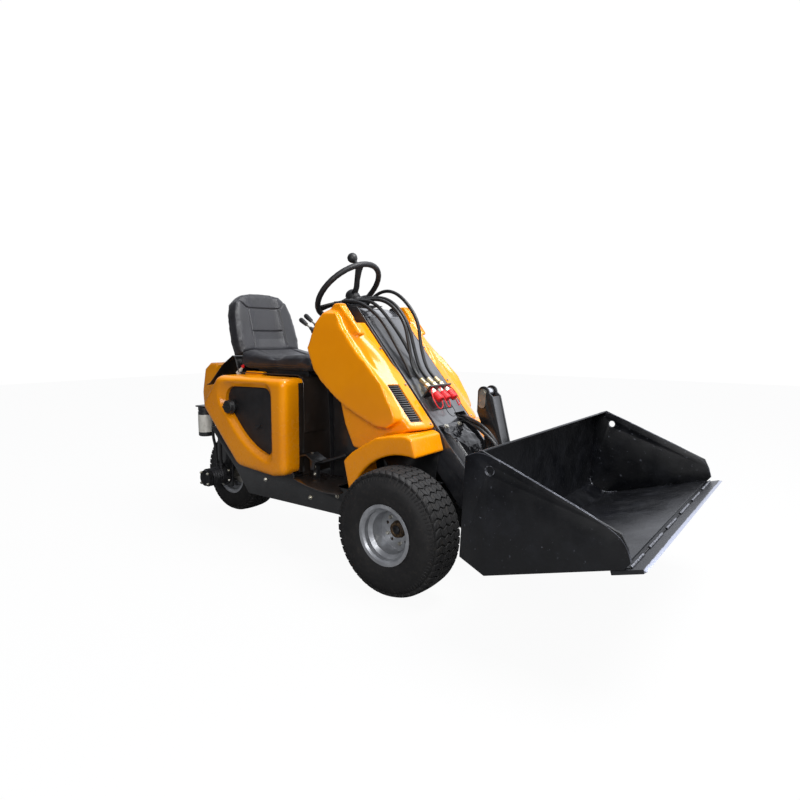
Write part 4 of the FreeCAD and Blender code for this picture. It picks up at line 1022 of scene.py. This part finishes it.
def back_depth(x, y, z, normal):
    up = (z - BACK_FOOT[1]) * math.cos(lean) - (x - BACK_FOOT[0] + 62) * math.sin(lean)
    facing = max(0.0, normal.x)
    seams = max(groove(to_run((y, up), run), 8) for run in BACK_SEAMS) * 6
    middle = max(0.0, 1 - (abs(y) / 108) ** 6) * (12 if up < 215 else 8)
    return facing * (seams + middle * min(1, max(0, (up + 10) / 60)))


pressed(back, back_depth)
chosen(back)
bpy.ops.object.shade_smooth()
dressed(back, "seat_vinyl", replaces=["seat_back"])

# %% Cushion
cushion = slab("cushion", [(-1112, 842), (-650, 842), (-634, 856), (-634, 884), (-664, 903), (-1000, 895),
                           (-1104, 918), (-1146, 926), (-1150, 856)], -205, 205, 20, 3)
foam("seat_cushion_pad", cushion, 4.0, 9)
modified(cushion, "SUBSURF", levels=1, render_levels=1)


def cushion_depth(x, y, z, normal):
    upper, frontal = max(0.0, normal.z), max(0.0, normal.x)
    dish = 12 * max(0.0, 1 - (y / 130) ** 4) * max(0.0, 1 - ((x + 900) / 230) ** 4)
    seam = 6 * max(groove(to_run((x, y), run), 8) for run in
                   ([(-1110, -118), (-700, -118)], [(-1110, 118), (-700, 118)],
                    [(-705, -118), (-705, 118)]))
    dip = 17 * math.exp(-(y / 34) ** 2) * (frontal * 0.55 + upper * (1 if x > -720 else 0) * 0.75)
    lobes = math.exp(-((x + 905) / 46) ** 2) * min(1.0, max(0.0, (abs(y) - 118) / 60))
    dip += lobes * (20 * upper + 9 * abs(normal.y))
    welt = 3 * groove(z - 855, 6) * (1 - abs(normal.z))
    return upper * (dish + seam) + dip + welt


pressed(cushion, cushion_depth)
chosen(cushion)
bpy.ops.object.shade_smooth()
dressed(cushion, "seat_vinyl", replaces=["seat_cushion"])

# %% [markdown]
# ## Softer edges on the carrying parts
# Bent and welded plate never has a knife edge, and it is the thin bright line along each edge that makes
# a plate look like steel. The large plates keep their CAD shape: a copy of each gets a narrow bevel and
# takes the CAD node's place in the render.

# %% Bevelled copies
def softened(node, width=1.6, finish=None):
    """A bevelled copy of a CAD node that stands for it."""
    piece = copied(nodes[node], node + "_eased")
    piece.parent = None
    piece.matrix_world = nodes[node].matrix_world
    edited(piece, lambda: bpy.ops.mesh.remove_doubles(threshold=0.00005),
           lambda: bpy.ops.mesh.dissolve_limited(angle_limit=math.radians(1.0)))
    eased(piece, width, 2, 28)
    return dressed(piece, SLOTS[node], bodies[node], [node], finish)


for node in ("boom", "frame", "hitch_frame", "bucket_sides", "bucket_shell", "seat_pedestal", "rear_fork",
             "floor_plates", "tail_cover", "rear_hood", "cowl_supports", "tower", "cutting_edge"):
    softened(node, finish={"boom": boom_painted_reflection_coat, "seat_pedestal": black_coat_warm_painted_reflection,
                           "floor_plates": black_coat_warm_painted_reflection}.get(node))

# %% [markdown]
# ## Bolts and small hardware
# A bolt head is spun in only six steps, which makes it a hexagon. One maker serves the cowls, the frame
# and the wheels.

# %% Bolt maker
def fastener(name, centre, axis, across, height, washer=1.3, sides=6):
    """A hexagon head with a domed top, on a washer."""
    head = spun(name, [(0.8, 0.2), (0.8, across / 2), (height * 0.8, across / 2), (height, across * 0.4),
                       (height, 0.2)], centre, axis, sides, 20)
    ring = spun("washer", [(0, 0.2), (0, across / 2 * washer), (1.2, across / 2 * washer), (1.4, 0.2)],
                centre, axis, 20)
    return joined(name, [head, ring])


slope_out = (0.773, 0, 0.634)
for side, word in ((-1, "right"), (1, "left")):
    bolts = []
    for x, z in ((-249, 951), (-121, 796), (6, 640)):
        lower = 7 if z > 900 else 0
        bolts.append(fastener("bolt", (x - lower * FORWARD + 1, side * 166, z - lower * UPWARD + 1),
                              slope_out, 9, 4.5))
    fitted("cowl_bolts_" + word, bolts, "zinc")
    bolts = [fastener("bolt", (x, side * 270, z), (0, side, 0), 17, 9) for x,
             z in ((-590, 255), (-900, 295), (-420, 290))]
    fitted("frame_bolts_" + word, bolts, "zinc")

# %% [markdown]
# ## Couplers
# Three hoses end in pale brass crimps and quick couplers, pushed through a plate on the boom. Each
# coupler wears a red dust cap on a loop of red strap. They all share one axis direction, so one section
# is spun and repeated.

# %% Couplers, caps and their straps
COUPLER_TURN = math.radians(37.8)
coupler_axis = (math.cos(COUPLER_TURN), 0, -math.sin(COUPLER_TURN))


def coupler_at(distance, up=0.0):
    return (-98 + distance * math.cos(COUPLER_TURN) + up * math.sin(COUPLER_TURN),
            812 - distance * math.sin(COUPLER_TURN) + up * math.cos(COUPLER_TURN))


def on_coupler(name, section, y, steps=32):
    x, z = coupler_at(0)
    return spun(name, section, (x, y, z), coupler_axis, steps)


def strap(name, points, radius):
    """A bent round strap along a smooth line of points in millimetres."""
    piece = started(name, bpy.ops.curve.primitive_nurbs_path_add)
    spline = piece.data.splines[0]
    spline.points.add(len(points) - len(spline.points))
    for knot, point in zip(spline.points, points):
        knot.co = (*at(*point), 1)
    spline.order_u, spline.use_endpoint_u = 4, True
    piece.data.bevel_depth, piece.data.bevel_resolution = radius / 1000, 3
    piece.data.resolution_u = 6
    chosen(piece)
    bpy.ops.object.convert(target="MESH")
    bpy.ops.object.shade_smooth()
    return piece


crimps, sleeves, collars, caps, straps = [], [], [], [], []
for number, y in enumerate((-80.0, -25.0, 30.0)):
    crimps.append(on_coupler("crimp", [(-6, 8.4), (-4, 10.6), (0, 11), (6, 10.2), (12, 11), (18, 10.2),
                                       (24, 11), (27, 9.2),
                                       (27, 3), (-6, 3)], y))
    crimps.append(on_coupler("nut", [(28, 3), (28, 11.5), (30, 13), (41, 13), (43, 11.5), (43, 3)], y, 6))
    sleeves.append(on_coupler("sleeve", [(43, 3), (43, 11), (46, 13.4), (58, 13.4), (60, 12.4), (67, 12.4),
                                         (69, 14),
                                         (84, 14), (86, 12.8), (92, 12.6), (92, 3)], y))
    collars.append(on_coupler("collar", [(61, 12.2), (61, 14.2), (63, 14.8), (66, 14.8), (67.5, 14.2),
                                         (67.5, 12.2)], y))
    rim = [(88, 13), (88, 16.2), (90, 17.2), (94, 17.2), (95, 16.4)]
    grip = [point for i in range(4) for point in ((97 + i * 7, 17), (100 + i * 7, 17), (101.5 + i * 7, 16),
                                                  (103 + i * 7, 16))]
    caps.append(on_coupler("cap", rim + grip + [(127, 16.8), (130, 14.5), (130.5, 3), (120, 3), (120, 13)],
                           y))
    x0, z0 = coupler_at(66, 14.5)
    x1, z1 = coupler_at(131)
    out = (-1, -0.4, 1)[number]
    straps.append(strap("strap", [(x0, y + out * 4, z0), (x0 + 4, y + out * 24, z0 - 2),
                                  (x0 + 22, y + out * 42, z0 - 34),
                                  (x0 + 46, y + out * 42, z0 - 70), (x1 + 8, y + out * 22, z1 - 40),
                                  (x1 + 14, y + out * 2, z1 - 26), (x1 + 2, y, z1 - 1)], 2.3))
x1, z1 = coupler_at(126)
lanyard = strap("lanyard", [(x1, -52, z1 - 16), (x1 + 10, -58, z1 - 44), (x1 + 26, -40, z1 - 74),
                            (x1 + 34, -14, z1 - 78),
                            (x1 + 28, -4, z1 - 52), (x1 + 8, -16, z1 - 24), (x1 - 2, -25, z1 - 16)], 1.5)
dressed(lanyard, "hose_rubber", "boom")
fitted("coupler_crimps", crimps, "zinc", "boom", ["aux_couplers"], brass)
fitted("coupler_sleeves", sleeves, "zinc", "boom")
fitted("coupler_collars", collars, "red_cap", "boom")
fitted("coupler_dust_caps", caps, "red_cap", "boom", ["coupler_caps"])
fitted("coupler_straps", straps, "red_cap", "boom")

# %% [markdown]
# ## Wheels
# The pressed disc carries a raised ring, five pale nuts on the stud circle, a notched ring round the hub
# and a dark grease cap. The barrel steps inwards behind the bead seat, and each step catches the light.
# The steps wear a lighter copy of the rim paint, which is a painted highlight.

# %% Wheel dress
STUD_CIRCLE = 57.15      # radius


def wheel_dress(name, centre, body, way):
    """Parts on one wheel; way is +1 where its outer side faces +y."""
    x, y, z = centre
    hub = spun(name + "_hub", [(-97, 0.3), (-97, 28), (-32, 30), (-30, 70), (-20, 71), (-19, 38),
                               (-10, 35), (0, 30), (2.5, 27),
                       (2.5, 0.3)], centre, axis=(0, way, 0), steps=48)
    dressed(hub, "zinc", body, [name.replace("wheel", "front_hub")], rusty)
    face = y + way * -12.0
    axis = (0, way, 0)
    steps = spun(name + "_barrel_steps", [(84, 113.5), (86, 118.6), (88.6, 119.4), (89, 116), (87, 109),
                                          (74, 104.5), (70, 99.5),
                            (48, 99), (44, 95.5), (18, 95), (14, 91), (4, 90.5), (4, 92.5), (12, 93),
                                          (16, 97), (42, 97.6),
                            (46, 101), (66, 101.5), (72, 107), (84, 111)], centre, axis, 64, 30)
    dressed(steps, "rim_paint", body, finish=barrel_painted_highlight)
    nuts = []
    for number in range(5):
        turn = math.tau * (number + 0.4) / 5
        spot = (x + STUD_CIRCLE * math.sin(turn), face, z + STUD_CIRCLE * math.cos(turn))
        nuts.append(fastener("nut", spot, axis, 16, 11, 1.3))
    fitted(name + "_nuts", nuts, "zinc", body)
    ring = spun("ring", [(0, 17.5), (0, 31), (3, 31), (5, 28.5), (5, 20), (3, 17.5)],
                (x, face + way * 14.5, z), axis, 40)
    teeth = []
    for number in range(10):
        turn = math.tau * number / 10
        tooth = slab("tooth", [(-3.2, 247), (3.2, 247), (3.2, 253), (-3.2, 253)], 0, way * 4.5, 1)
        tooth.data.transform(Matrix.Translation(-at(0, 0, 250)))
        tooth.data.transform(Matrix.Translation(at(x + 24 * math.sin(turn), face + way * 18.0,
                                                   z + 24 * math.cos(turn))) @
                             Matrix.Rotation(turn, 4, "Y"))
        teeth.append(tooth)
    fitted(name + "_hub_ring", [ring] + teeth, "zinc", body, finish=rusty)
    cap = spun(name + "_grease_cap", [(0, 0.3), (0, 17), (6, 16.5), (9.5, 12), (10, 0.3)],
               (x, face + way * 14.5, z), axis, 32)
    dressed(cap, "cast_block", body)


def rust():
    f = Finish("rusty bronze ring")
    stain = f.noise(90, 5, 0.7).between(0.35, 0.7)
    colour = f.blend(stain, shade(52, 42, 34), shade(104, 84, 60))
    return f.wear(colour, f.noise(60, 3) * 0.3 + 0.4, f.noise(260, 4), 0.0004, 0.8, stain * 0.5 + 0.3)


rusty = rust()
wheel_dress("wheel_right", FRONT_RIGHT, "front_wheel_right", -1)
wheel_dress("wheel_left", FRONT_LEFT, "front_wheel_left", 1)

# %% [markdown]
# ## Steering wheel
# The wheel is dished: its hub sits lower down the column than its rim, and three flat spokes climb from
# one to the other. A spinner knob stands on the rim. A round section turned about the column gives rim,
# hub and knob. A spoke is a side profile with a width, turned into its place.

# %% Wheel, spokes and knob
STEER = Vector((-581, 0, 1215))
DOWN_COLUMN = Vector((0.6896, 0, -0.7242))


def over_wheel(degrees):
    """The direction in the wheel's plane at an angle, with 90 degrees away from the driver."""
    turn = math.radians(degrees)
    return DOWN_COLUMN.cross(Vector((0, 1, 0))) * math.sin(turn) + Vector((0, 1, 0)) * math.cos(turn)


rim_section = [(13.5 * math.sin(math.tau * i / 14),
                171 + 13.5 * math.cos(math.tau * i / 14)) for i in range(14)]
rim = spun("rim", rim_section, STEER, DOWN_COLUMN, 120, 60)


def finger_depth(x, y, z, normal):
    """Seventeen shallow finger dents round the rim."""
    turn = math.atan2(y, (x + 581) * 0.7242 + (z - 1215) * 0.6896)
    return 0.9 * groove(math.sin(17 * turn), 0.5)


pressed(rim, finger_depth)
hub = spun("hub", [(4, 0.3), (5, 13), (9, 22), (17, 29), (28, 32), (46, 33), (60, 31), (62, 22),
                   (62, 0.3)], STEER,
           DOWN_COLUMN, 40)
parts = [rim, hub]
for degrees in (108, 228, 348):
    profile = [(14, -34), (60, -30), (110, -9), (164, 4), (168, -5), (114, -19), (62, -41), (14, -46)]
    spoke = slab("spoke", profile, -13, 13, 3.0)
    for vertex in spoke.data.vertices:
        reach = (vertex.co.x - AXLE_X) * 1000
        vertex.co.y *= 1.35 - 0.3 * min(1.0, reach / 90) + 0.75 * max(0.0, (reach - 120) / 45) ** 2
    out = over_wheel(degrees)
    turn = Matrix((out, out.cross(DOWN_COLUMN), -DOWN_COLUMN)).transposed().to_4x4()
    spoke.data.transform(Matrix.Translation(at(*STEER)) @ turn @ Matrix.Translation(-at(0, 0, 0)))
    parts.append(spoke)
knob_foot = STEER + over_wheel(112) * 171
knob = [(2, 0.3), (2, 10), (-14, 8), (-24, 7.5), (-27, 13), (-34, 19), (-43, 23), (-52, 23.5), (-61, 20.5),
        (-68, 13),
        (-71, 5), (-71.5, 0.3)]
parts.append(spun("knob", knob, knob_foot, DOWN_COLUMN, 32, 60))
fitted("steering_wheel_moulding", parts, "black_plastic", "steering_wheel", ["steering_wheel"])

# %% [markdown]
# ## Levers and pedal
# Two valve levers lean back beside the cowl. Each has a bright rod and a long black grip, and both rise
# from one pleated boot. The drive pedal is a folded plate on a hinge post with a rod that runs forward.

# %% Levers and their boot
grips, rods = [], []
for foot, tip in (((-626, -208, 1032), (-697, -213, 1080)), ((-622, -182, 1048), (-694, -184, 1099))):
    way = (Vector(tip) - Vector(foot)).normalized()
    rods.append(spun("rod", [(-34, 0.3), (-34, 4.6), (34, 4.6), (34, 6.5), (42, 6.5), (42, 0.3)], foot,
                     way, 16))
    length = (Vector(tip) - Vector(foot)).length
    folds = [(-40 + i * 7 + half, 17 - i * 1.3 - half * 0.7) for i in range(8) for half in (0, 3.5)]
    grips.append(spun("folds", [(-40, 0.3)] + folds + [(16, 0.3)], foot, way, 24, 20))
    grips.append(spun("grip", [(34, 0.3), (34, 6), (38, 9), (length - 26, 11), (length - 10, 11.5),
                               (length - 3, 9),
                               (length, 5), (length, 0.3)], foot, way, 24, 60))
pleats = [(i * 11 + half, 29 - i * 1.1 - half * 0.6) for i in range(9) for half in (0, 5.5)]
boot = spun("boot", [(0, 0.3)] + pleats + [(108, 16), (108, 0.3)], (-527, -195, 988), (-0.936, 0, 0.354),
            28, 20)
fitted("lever_grips", grips + [boot], "black_plastic", "chassis", ["controls"])
fitted("lever_rods", rods, "zinc")
column = softened("steering_column", 3)
cut_by(column, slab("corner", [(-660, 1160), (-420, 1160), (-420, 1300), (-660, 1300)], -140, -56))

# %% Drive pedal
pad = slab("pad", [(-686, 438), (-642, 449), (-604, 430), (-575, 419), (-577, 412), (-606, 423),
                   (-642, 441), (-684, 430)],
           -246, -164, 1.5)
post = slab("post", [(-632, 334), (-596, 334), (-598, 352), (-603, 410), (-622, 412), (-628, 352)], -216,
            -194, 2.5)
cheek = slab("cheek", [(-628, 372), (-600, 372), (-598, 430), (-630, 438)], -232, -226, 1.5)
arm = strap("arm", [(-612, -205, 404), (-590, -199, 408), (-552, -184, 420), (-500, -166, 439),
                    (-468, -154, 451)], 7.5)
fitted("drive_pedal", [pad, post, cheek, arm], "graphite", "chassis", ["controls"])
bolts = [fastener("bolt", (-613, -216, z), (0, -1, 0), 13, 7) for z in (352, 388)]
fitted("pedal_bolts", bolts + [fastener("bolt", (-640, -205, 446), (0.2, 0, 1), 12, 5)], "zinc")

# %% [markdown]
# ## Rubber flap over the boom's open end
# A piece of glossy black sheet is bolted over the opening where the tilt hoses leave. It stays
# crumpled, so its surface is a field of flat facets with sharp creases between them. A grid follows the
# bent path, and a ridged noise lifts it.

# %% Flap
FLAP_WIDTH = 166
path = [Vector((22, 629.6)), Vector((54, 603)), Vector((94, 578)), Vector((122, 547)), Vector((135, 507))]
runs = [0.0]
for a, b in zip(path, path[1:]):
    runs.append(runs[-1] + (b - a).length)


def along_flap(distance):
    """The side-view point at a distance down the flap, and the way out of it."""
    i = max(k for k in range(len(path) - 1) if runs[k] <= distance + 1e-6)
    share = min(1.0, (distance - runs[i]) / (runs[i + 1] - runs[i]))
    way = (path[i + 1] - path[i]).normalized()
    return path[i].lerp(path[i + 1], share), Vector((-way.y, way.x))


def crumple(u, v):
    """Ridged noise from -1 to 1 with sharp creases."""
    first = 1 - 2 * abs(noise.noise(Vector((u / 34, v / 30, 3.1))))
    second = 1 - 2 * abs(noise.noise(Vector((u / 15, v / 17, 7.7))))
    return first * 0.85 + second * 0.15


flap = started("crumpled_flap", bpy.ops.mesh.primitive_grid_add, x_subdivisions=26, y_subdivisions=30,
               size=2)
for vertex in flap.data.vertices:
    u, v = (vertex.co.x + 1) / 2, (vertex.co.y + 1) / 2
    y = -127 + FLAP_WIDTH * u
    length = runs[-1] * (0.6 + 0.4 * min(1.0, max(0.0, (y + 100) / 60)))
    spot, out = along_flap(v * length)
    lift = 1.0 + (5.2 + 4.6 * crumple(y, v * length)) * min(1.0, v * 6) * (1 - 0.3 * v)
    vertex.co = at(spot.x + out.x * lift, y + 2 * math.sin(v * 9), spot.y + out.y * lift)
edited(flap)
modified(flap, "SOLIDIFY", thickness=0.0018, offset=-1)
chosen(flap)
bpy.ops.object.shade_smooth_by_angle(angle=math.radians(7))
dressed(flap, "flap_rubber", "boom", ["hose_flap"])
one_side = sum(polygon.area for polygon in flap.data.polygons) / 2
print("flap side area", round(one_side, 4), "length", round(runs[-1], 1))
slope_normal = (0.766, 0, 0.643)
bolts = [fastener("bolt", (36 + 5.5, y, 618 + 5.5), slope_normal, 17, 8, 1.5, 8) for y in (-96, 8)]
fitted("flap_bolts", bolts, "zinc", "boom")

# %% [markdown]
# ## Wear and welds of the bucket
# The cutting edge is painted plate whose front bevel is ground bright, and the pale blue tone of that band
# is also a painted highlight. Stitch welds hold it to the floor, and continuous beads run in the corners.
# A bead is a thin round strap pressed half into the joint.

# %% Bucket place and welds
ROLL = math.radians(16.1)


def in_bucket(x, z, y=0.0):
    """A point of the level bucket, measured from its heel, in its rolled-back rest position."""
    return (496 + x * math.cos(ROLL) - z * math.sin(ROLL), y, 260 + x * math.sin(ROLL) + z * math.cos(ROLL))


def weld_coat():
    f = Finish("painted weld with bare crests")
    crest = f.noise(130, 4, 0.7).between(0.42, 0.62)
    colour = f.blend(crest, shade(24, 25, 30), shade(132, 134, 142))
    return f.wear(colour, 0.5 - crest * 0.15, f.noise(240, 3), 0.0008, 0.8, crest * 0.6)


def edge_coat():
    f = Finish("cutting edge, worn, with painted highlight")
    forward = f.axis("X") * math.cos(ROLL) + f.axis("Z") * math.sin(ROLL)
    heel = at(*in_bucket(0, 0))
    front = heel.x * math.cos(ROLL) + heel.z * math.sin(ROLL) + 0.5
    # The pale blue-grey band along the front is the ground bevel and also a painted highlight.
    ground_band_and_highlight = (forward + f.noise(30, 4) * 0.006).between(front - 0.009, front - 0.006)
    scuff = f.noise(40, 5, 0.7, stretch=(1, 6, 1)).between(0.6, 0.75)
    colour = f.blend(scuff * 0.4, shade(20, 21, 25), shade(96, 98, 106))
    colour = f.blend(ground_band_and_highlight, colour, shade(158, 162, 178))
    return f.wear(colour, 0.42 - ground_band_and_highlight * 0.1, f.noise(200, 3, 0.6, stretch=(1, 8, 1)), 0.0004, 0.5,
                  ground_band_and_highlight * 0.7 + scuff * 0.2)


cutting_edge_highlight_and_wear, beads = edge_coat(), []
bpy.data.objects["cutting_edge_eased"].data.materials[0] = cutting_edge_highlight_and_wear
for y0, y1 in ((-588, -470), (-400, -250), (-190, -60), (10, 150), (210, 350), (410, 588)):
    steps = int((y1 - y0) / 22)
    beads.append(strap("bead", [in_bucket(454 + 1.2 * (i % 2), 1.5,
                                          y0 + (y1 - y0) * i / steps) for i in range(steps + 1)],
                       4.2))
lip = slab("bucket_floor_lip", [(434, 0.5), (455, 0.5), (455, 2.2), (434, 2.2)], -591, 591, 0.6, 1)
rolled = Matrix.Rotation(-ROLL, 4, "Y")
lip.data.transform(Matrix.Translation(at(*in_bucket(0, 0))) @ rolled @ Matrix.Translation(-at(0, 0, 0)))
dressed(lip, "bucket_paint", "bucket")
# Pale straps along both edges of each side plate's rim: rubbed paint, and a painted highlight where the edges
# catch the light.
rim_line = ((38, 374), (67, 380), (97, 382), (190, 308), (330, 196), (456, 95), (463, 54), (461, 16))
rims = [strap("rim_highlight_and_rub", [in_bucket(x, z, side * y) for x, z in rim_line], 1.1)
        for side in (-1, 1) for y in (592.6, 599.4)]
fitted("bucket_rim_highlight_and_rub", rims, "bucket_paint", "bucket", finish=edge_highlight_and_rub)
corner = [(436, 1.5), (300, 1.5), (150, 1.5), (2, 1.5), (-30, 30), (-66, 62), (-40, 140), (0, 260),
          (38, 368)]
for side in (-1, 1):
    beads.append(strap("bead", [in_bucket(x, z, side * 590.5) for x, z in corner], 3.2))
fitted("bucket_welds", beads, "bucket_paint", "bucket", finish=weld_coat())
sleeves = [spun("hole_edge", [(-0.6, 14.1), (-0.6, 16.5), (9, 16.5), (9, 14.1)],
                in_bucket(108, 317, side * 592), (0, side, 0),
                32) for side in (-1, 1)]
fitted("bucket_hole_edges", sleeves, "bucket_paint", "bucket", finish=weld_coat())

# %% [markdown]
# ## Wheel motor, filter, slides and small parts behind
# The steered wheel has its own hydraulic motor: a cast body with ribs and a ring of bolts. Close to it
# hangs the oil filter with a plain pale sleeve. The seat rides on two dark slides, which also fill the
# gap under the seat as painted shade.

# %% Rear motor and filter
motor_x, motor_y = REAR_WHEEL[0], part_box("rear_wheel_motor")[0].y * 1000
motor_mid = (motor_x, motor_y, REAR_RADIUS)
body_section = [(0, 0.3), (0, 30), (4, 43), (18, 44), (20, 49.5)]
body_section += [(24 + i * 7, 49.5 - 5 * (i % 2)) for i in range(12)]
body_section += [(112, 49.5), (126, 50), (127, 61), (137, 61), (138, 30), (138, 0.3)]
motor = spun("motor", body_section, motor_mid, (0, 1, 0), 40)
ports = [spun("port", [(0, 0.3), (0, 12), (16, 12), (18, 15), (30, 15), (32, 10.5), (46, 10.5), (46, 0.3)],
              (motor_x + dx, motor_y + 98, 267), (0, 0, 1), 20) for dx in (-20, 20)]
fitted("rear_motor_casting", [motor] + ports, "cast_block", "rear_fork", ["rear_wheel_motor"])
bolts = [fastener("bolt", (motor_x + 40 * math.cos(a), motor_y + 3, REAR_RADIUS + 40 * math.sin(a)),
                  (0, -1, 0), 13, 8)
         for a in (math.radians(45 + 90 * i) for i in range(4))]
bolts += [fastener("bolt", (motor_x + 55 * math.cos(a), motor_y + 127, REAR_RADIUS + 55 * math.sin(a)),
                   (0, -1, 0), 12, 7)
          for a in (math.radians(30 + 60 * i) for i in range(6))]
fitted("rear_motor_bolts", bolts, "zinc", "rear_fork")
filter_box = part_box("oil_filter")
foot, top = filter_box[0].z * 1000, filter_box[1].z * 1000
can = spun("filter_can", [(0, 0.3), (0, 34), (3, 39), (9, 40), (top - foot - 24, 40),
                          (top - foot - 22, 37), (top - foot - 18, 37),
                   (top - foot - 16, 39), (top - foot, 39), (top - foot, 0.3)], (-1508, -175, foot),
           (0, 0, 1), 40)
dressed(can, "graphite", "chassis", ["oil_filter"])


def pale_coat():
    f = Finish("pale printed sleeve")
    dirt = f.noise(34, 5, 0.7).between(0.45, 0.8)
    colour = f.blend(dirt * 0.5, shade(206, 204, 196), shade(120, 112, 98))
    return f.wear(colour, f.noise(20, 3) * 0.2 + 0.4, f.noise(300, 2), 0.0002, 0.3)


sleeve = spun("filter_sleeve", [(24, 39), (24, 40.4), (top - foot - 40, 40.4), (top - foot - 40, 39)],
              (-1508, -175, foot), (0, 0, 1), 40)
dressed(sleeve, "graphite", finish=pale_coat())

# %% [markdown]
# The seat slides, the lid, the latch and the filler are small parts of simple shape. The lid and the
# latch stand on the face of the fuel tank, so their place is read from its CAD box.

# %% Seat slides, panel cap and latch
# The slides fill the gap between the cover tops and the cushion, so that it shows dark: they also stand in for the
# shade under the seat.
slides = [slab("slide", [(-1060, 797), (-716, 797), (-706, 806), (-706, 838), (-1070, 838), (-1070, 806)],
               y - 9, y + 9, 3)
          for y in (-148, 148)]
slides += [slab("handle", [(-716, 812), (-676, 812), (-676, 820), (-716, 820)], -120, 60, 3)]
fitted("seat_slides_painted_shade", slides, "graphite")
panel_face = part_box("fuel_tank")[0].y * 1000
print("panel face at", round(panel_face, 1))
lid = [(0, 0.3), (0, 36), (4, 36), (6, 33)]
lid += [(8 + i * 4, 32 - 1.4 * (i % 2)) for i in range(5)] + [(27, 29), (28, 0.3)]
lid = spun("lid", lid, (-1090, panel_face, 650), (0, -1, 0), 36, 20)
grip = slab("grip", [(-1116, 646), (-1064, 646), (-1064, 654), (-1116, 654)], panel_face - 36,
            panel_face - 26, 2)
latch = slab("latch", [(-905, 560), (-900, 552), (-868, 566), (-863, 576), (-866, 582), (-902, 570)],
             panel_face - 9, panel_face, 2)
fitted("tank_lid_and_latch", [lid, grip, latch], "black_plastic")

# %% Pedestal returns, filler ledge and red-topped knob
returns = [slab("return", [(-714, 352), (-694, 352), (-694, 772), (-700, 780), (-714, 780)],
                *sorted((side * 204, side * 237)), 2.5)
           for side in (-1, 1)]
fitted("pedestal_returns", returns, "graphite", finish=black_coat_warm_painted_reflection)
ledge = slab("filler_ledge", [(-1122, 799), (-985, 799), (-988, 818), (-1000, 821), (-1110, 821),
                              (-1119, 815)], -202, -168, 4)
dressed(ledge, "yellow_paint")
lean_way = Vector((0.7, 0, 0.714))
horn = spun("filler_horn", [(0, 0.3), (0, 15), (14, 13), (34, 7), (44, 5), (44, 0.3)], (-1186, -190, 806),
            lean_way, 24, 50)
dressed(horn, "zinc", finish=pale_coat())
knob = spun("filler_knob", [(44, 0.3), (44, 6), (47, 9), (54, 9.5), (60, 7), (62, 0.3)],
            (-1186, -190, 806), lean_way, 24, 50)
dressed(knob, "red_cap")

# %% [markdown]
# ## Finishes on the carried-over pieces
# Every CAD node that still shows gets the finish of its own material slot. The nodes that a piece above
# replaces are hidden and keep their part in the collision model.

# %% Dress the CAD nodes
for node, slot in SLOTS.items():
    nodes[node].data.materials.clear()
    nodes[node].data.materials.append(FINISHES[slot])
print("dressed", len(SLOTS), "nodes")

# %% [markdown]
# ## Studio
# A plain pale floor and a broad soft light show the shapes without colouring them. The camera sees the
# floor and the sky as white, while gloss surfaces see a sky that darkens towards the ground, which
# gives the paint its gradient.

# %% Floor
floor = started("floor", bpy.ops.mesh.primitive_plane_add, size=24, location=(0, 0, cad_box[0].z - 0.0005))
f = Finish("pale floor", Roughness=0.95, Specular_IOR_Level=0.1)
f.shader.inputs["Base Color"].default_value = (0.2, 0.2, 0.2, 1)
glow = f.add("ShaderNodeEmission", {}, {"Color": (1, 1, 1, 1), "Strength": 1.1})
seen = f.add("ShaderNodeLightPath", output="Is Camera Ray")
shown = f.add("ShaderNodeMixShader", {}, {0: seen * 0.86, 1: Wire(f, f.shader.outputs[0]), 2: glow})
f.tree.links.new(shown.socket, f.tree.nodes["Material Output"].inputs["Surface"])
floor.data.materials.append(f.material)
print("floor at", round(floor.location.z, 4))


# %% Lamps
def lamp(name, place, size, power):
    light = bpy.data.lights.new(name, "AREA")
    light.shape, light.size, light.size_y, light.energy = "RECTANGLE", size[0], size[1], power
    thing = bpy.data.objects.new(name, light)
    thing.location = at(*place)
    thing.rotation_euler = (at(-200, 0, 500) - thing.location).to_track_quat("-Z", "Y").to_euler()
    bpy.context.scene.collection.objects.link(thing)


lamp("key", (1800, 300, 4400), (2.2, 2.2), 270)
lamp("side", (2200, -4000, 2500), (3.0, 2.0), 145)

# %% Sky
world = bpy.data.worlds.new("sky")
bpy.context.scene.world = world
world.use_nodes = True
sky = Graph(world.node_tree)
direction = sky.add("ShaderNodeTexCoord")
height = sky.add("ShaderNodeVectorMath", {"operation": "DOT_PRODUCT"},
                 {0: direction, 1: (0.15, 0.72, 0.68)}, "Value")
gradient = sky.add("ShaderNodeValToRGB", {"stops": ((0.0, (0.05, 0.05, 0.055, 1)),
                                                    (0.85, (0.9, 0.93, 1, 1)))},
                   {0: height})
to_camera = sky.add("ShaderNodeLightPath", output="Is Camera Ray")
background = world.node_tree.nodes["Background"]
world.node_tree.links.new(sky.blend(to_camera, gradient, (0.72, 0.72, 0.72, 1)).socket,
                          background.inputs[0])
background.inputs[1].default_value = 1.4
bpy.context.scene.view_settings.view_transform = "Standard"
print("sky strength", background.inputs[1].default_value)
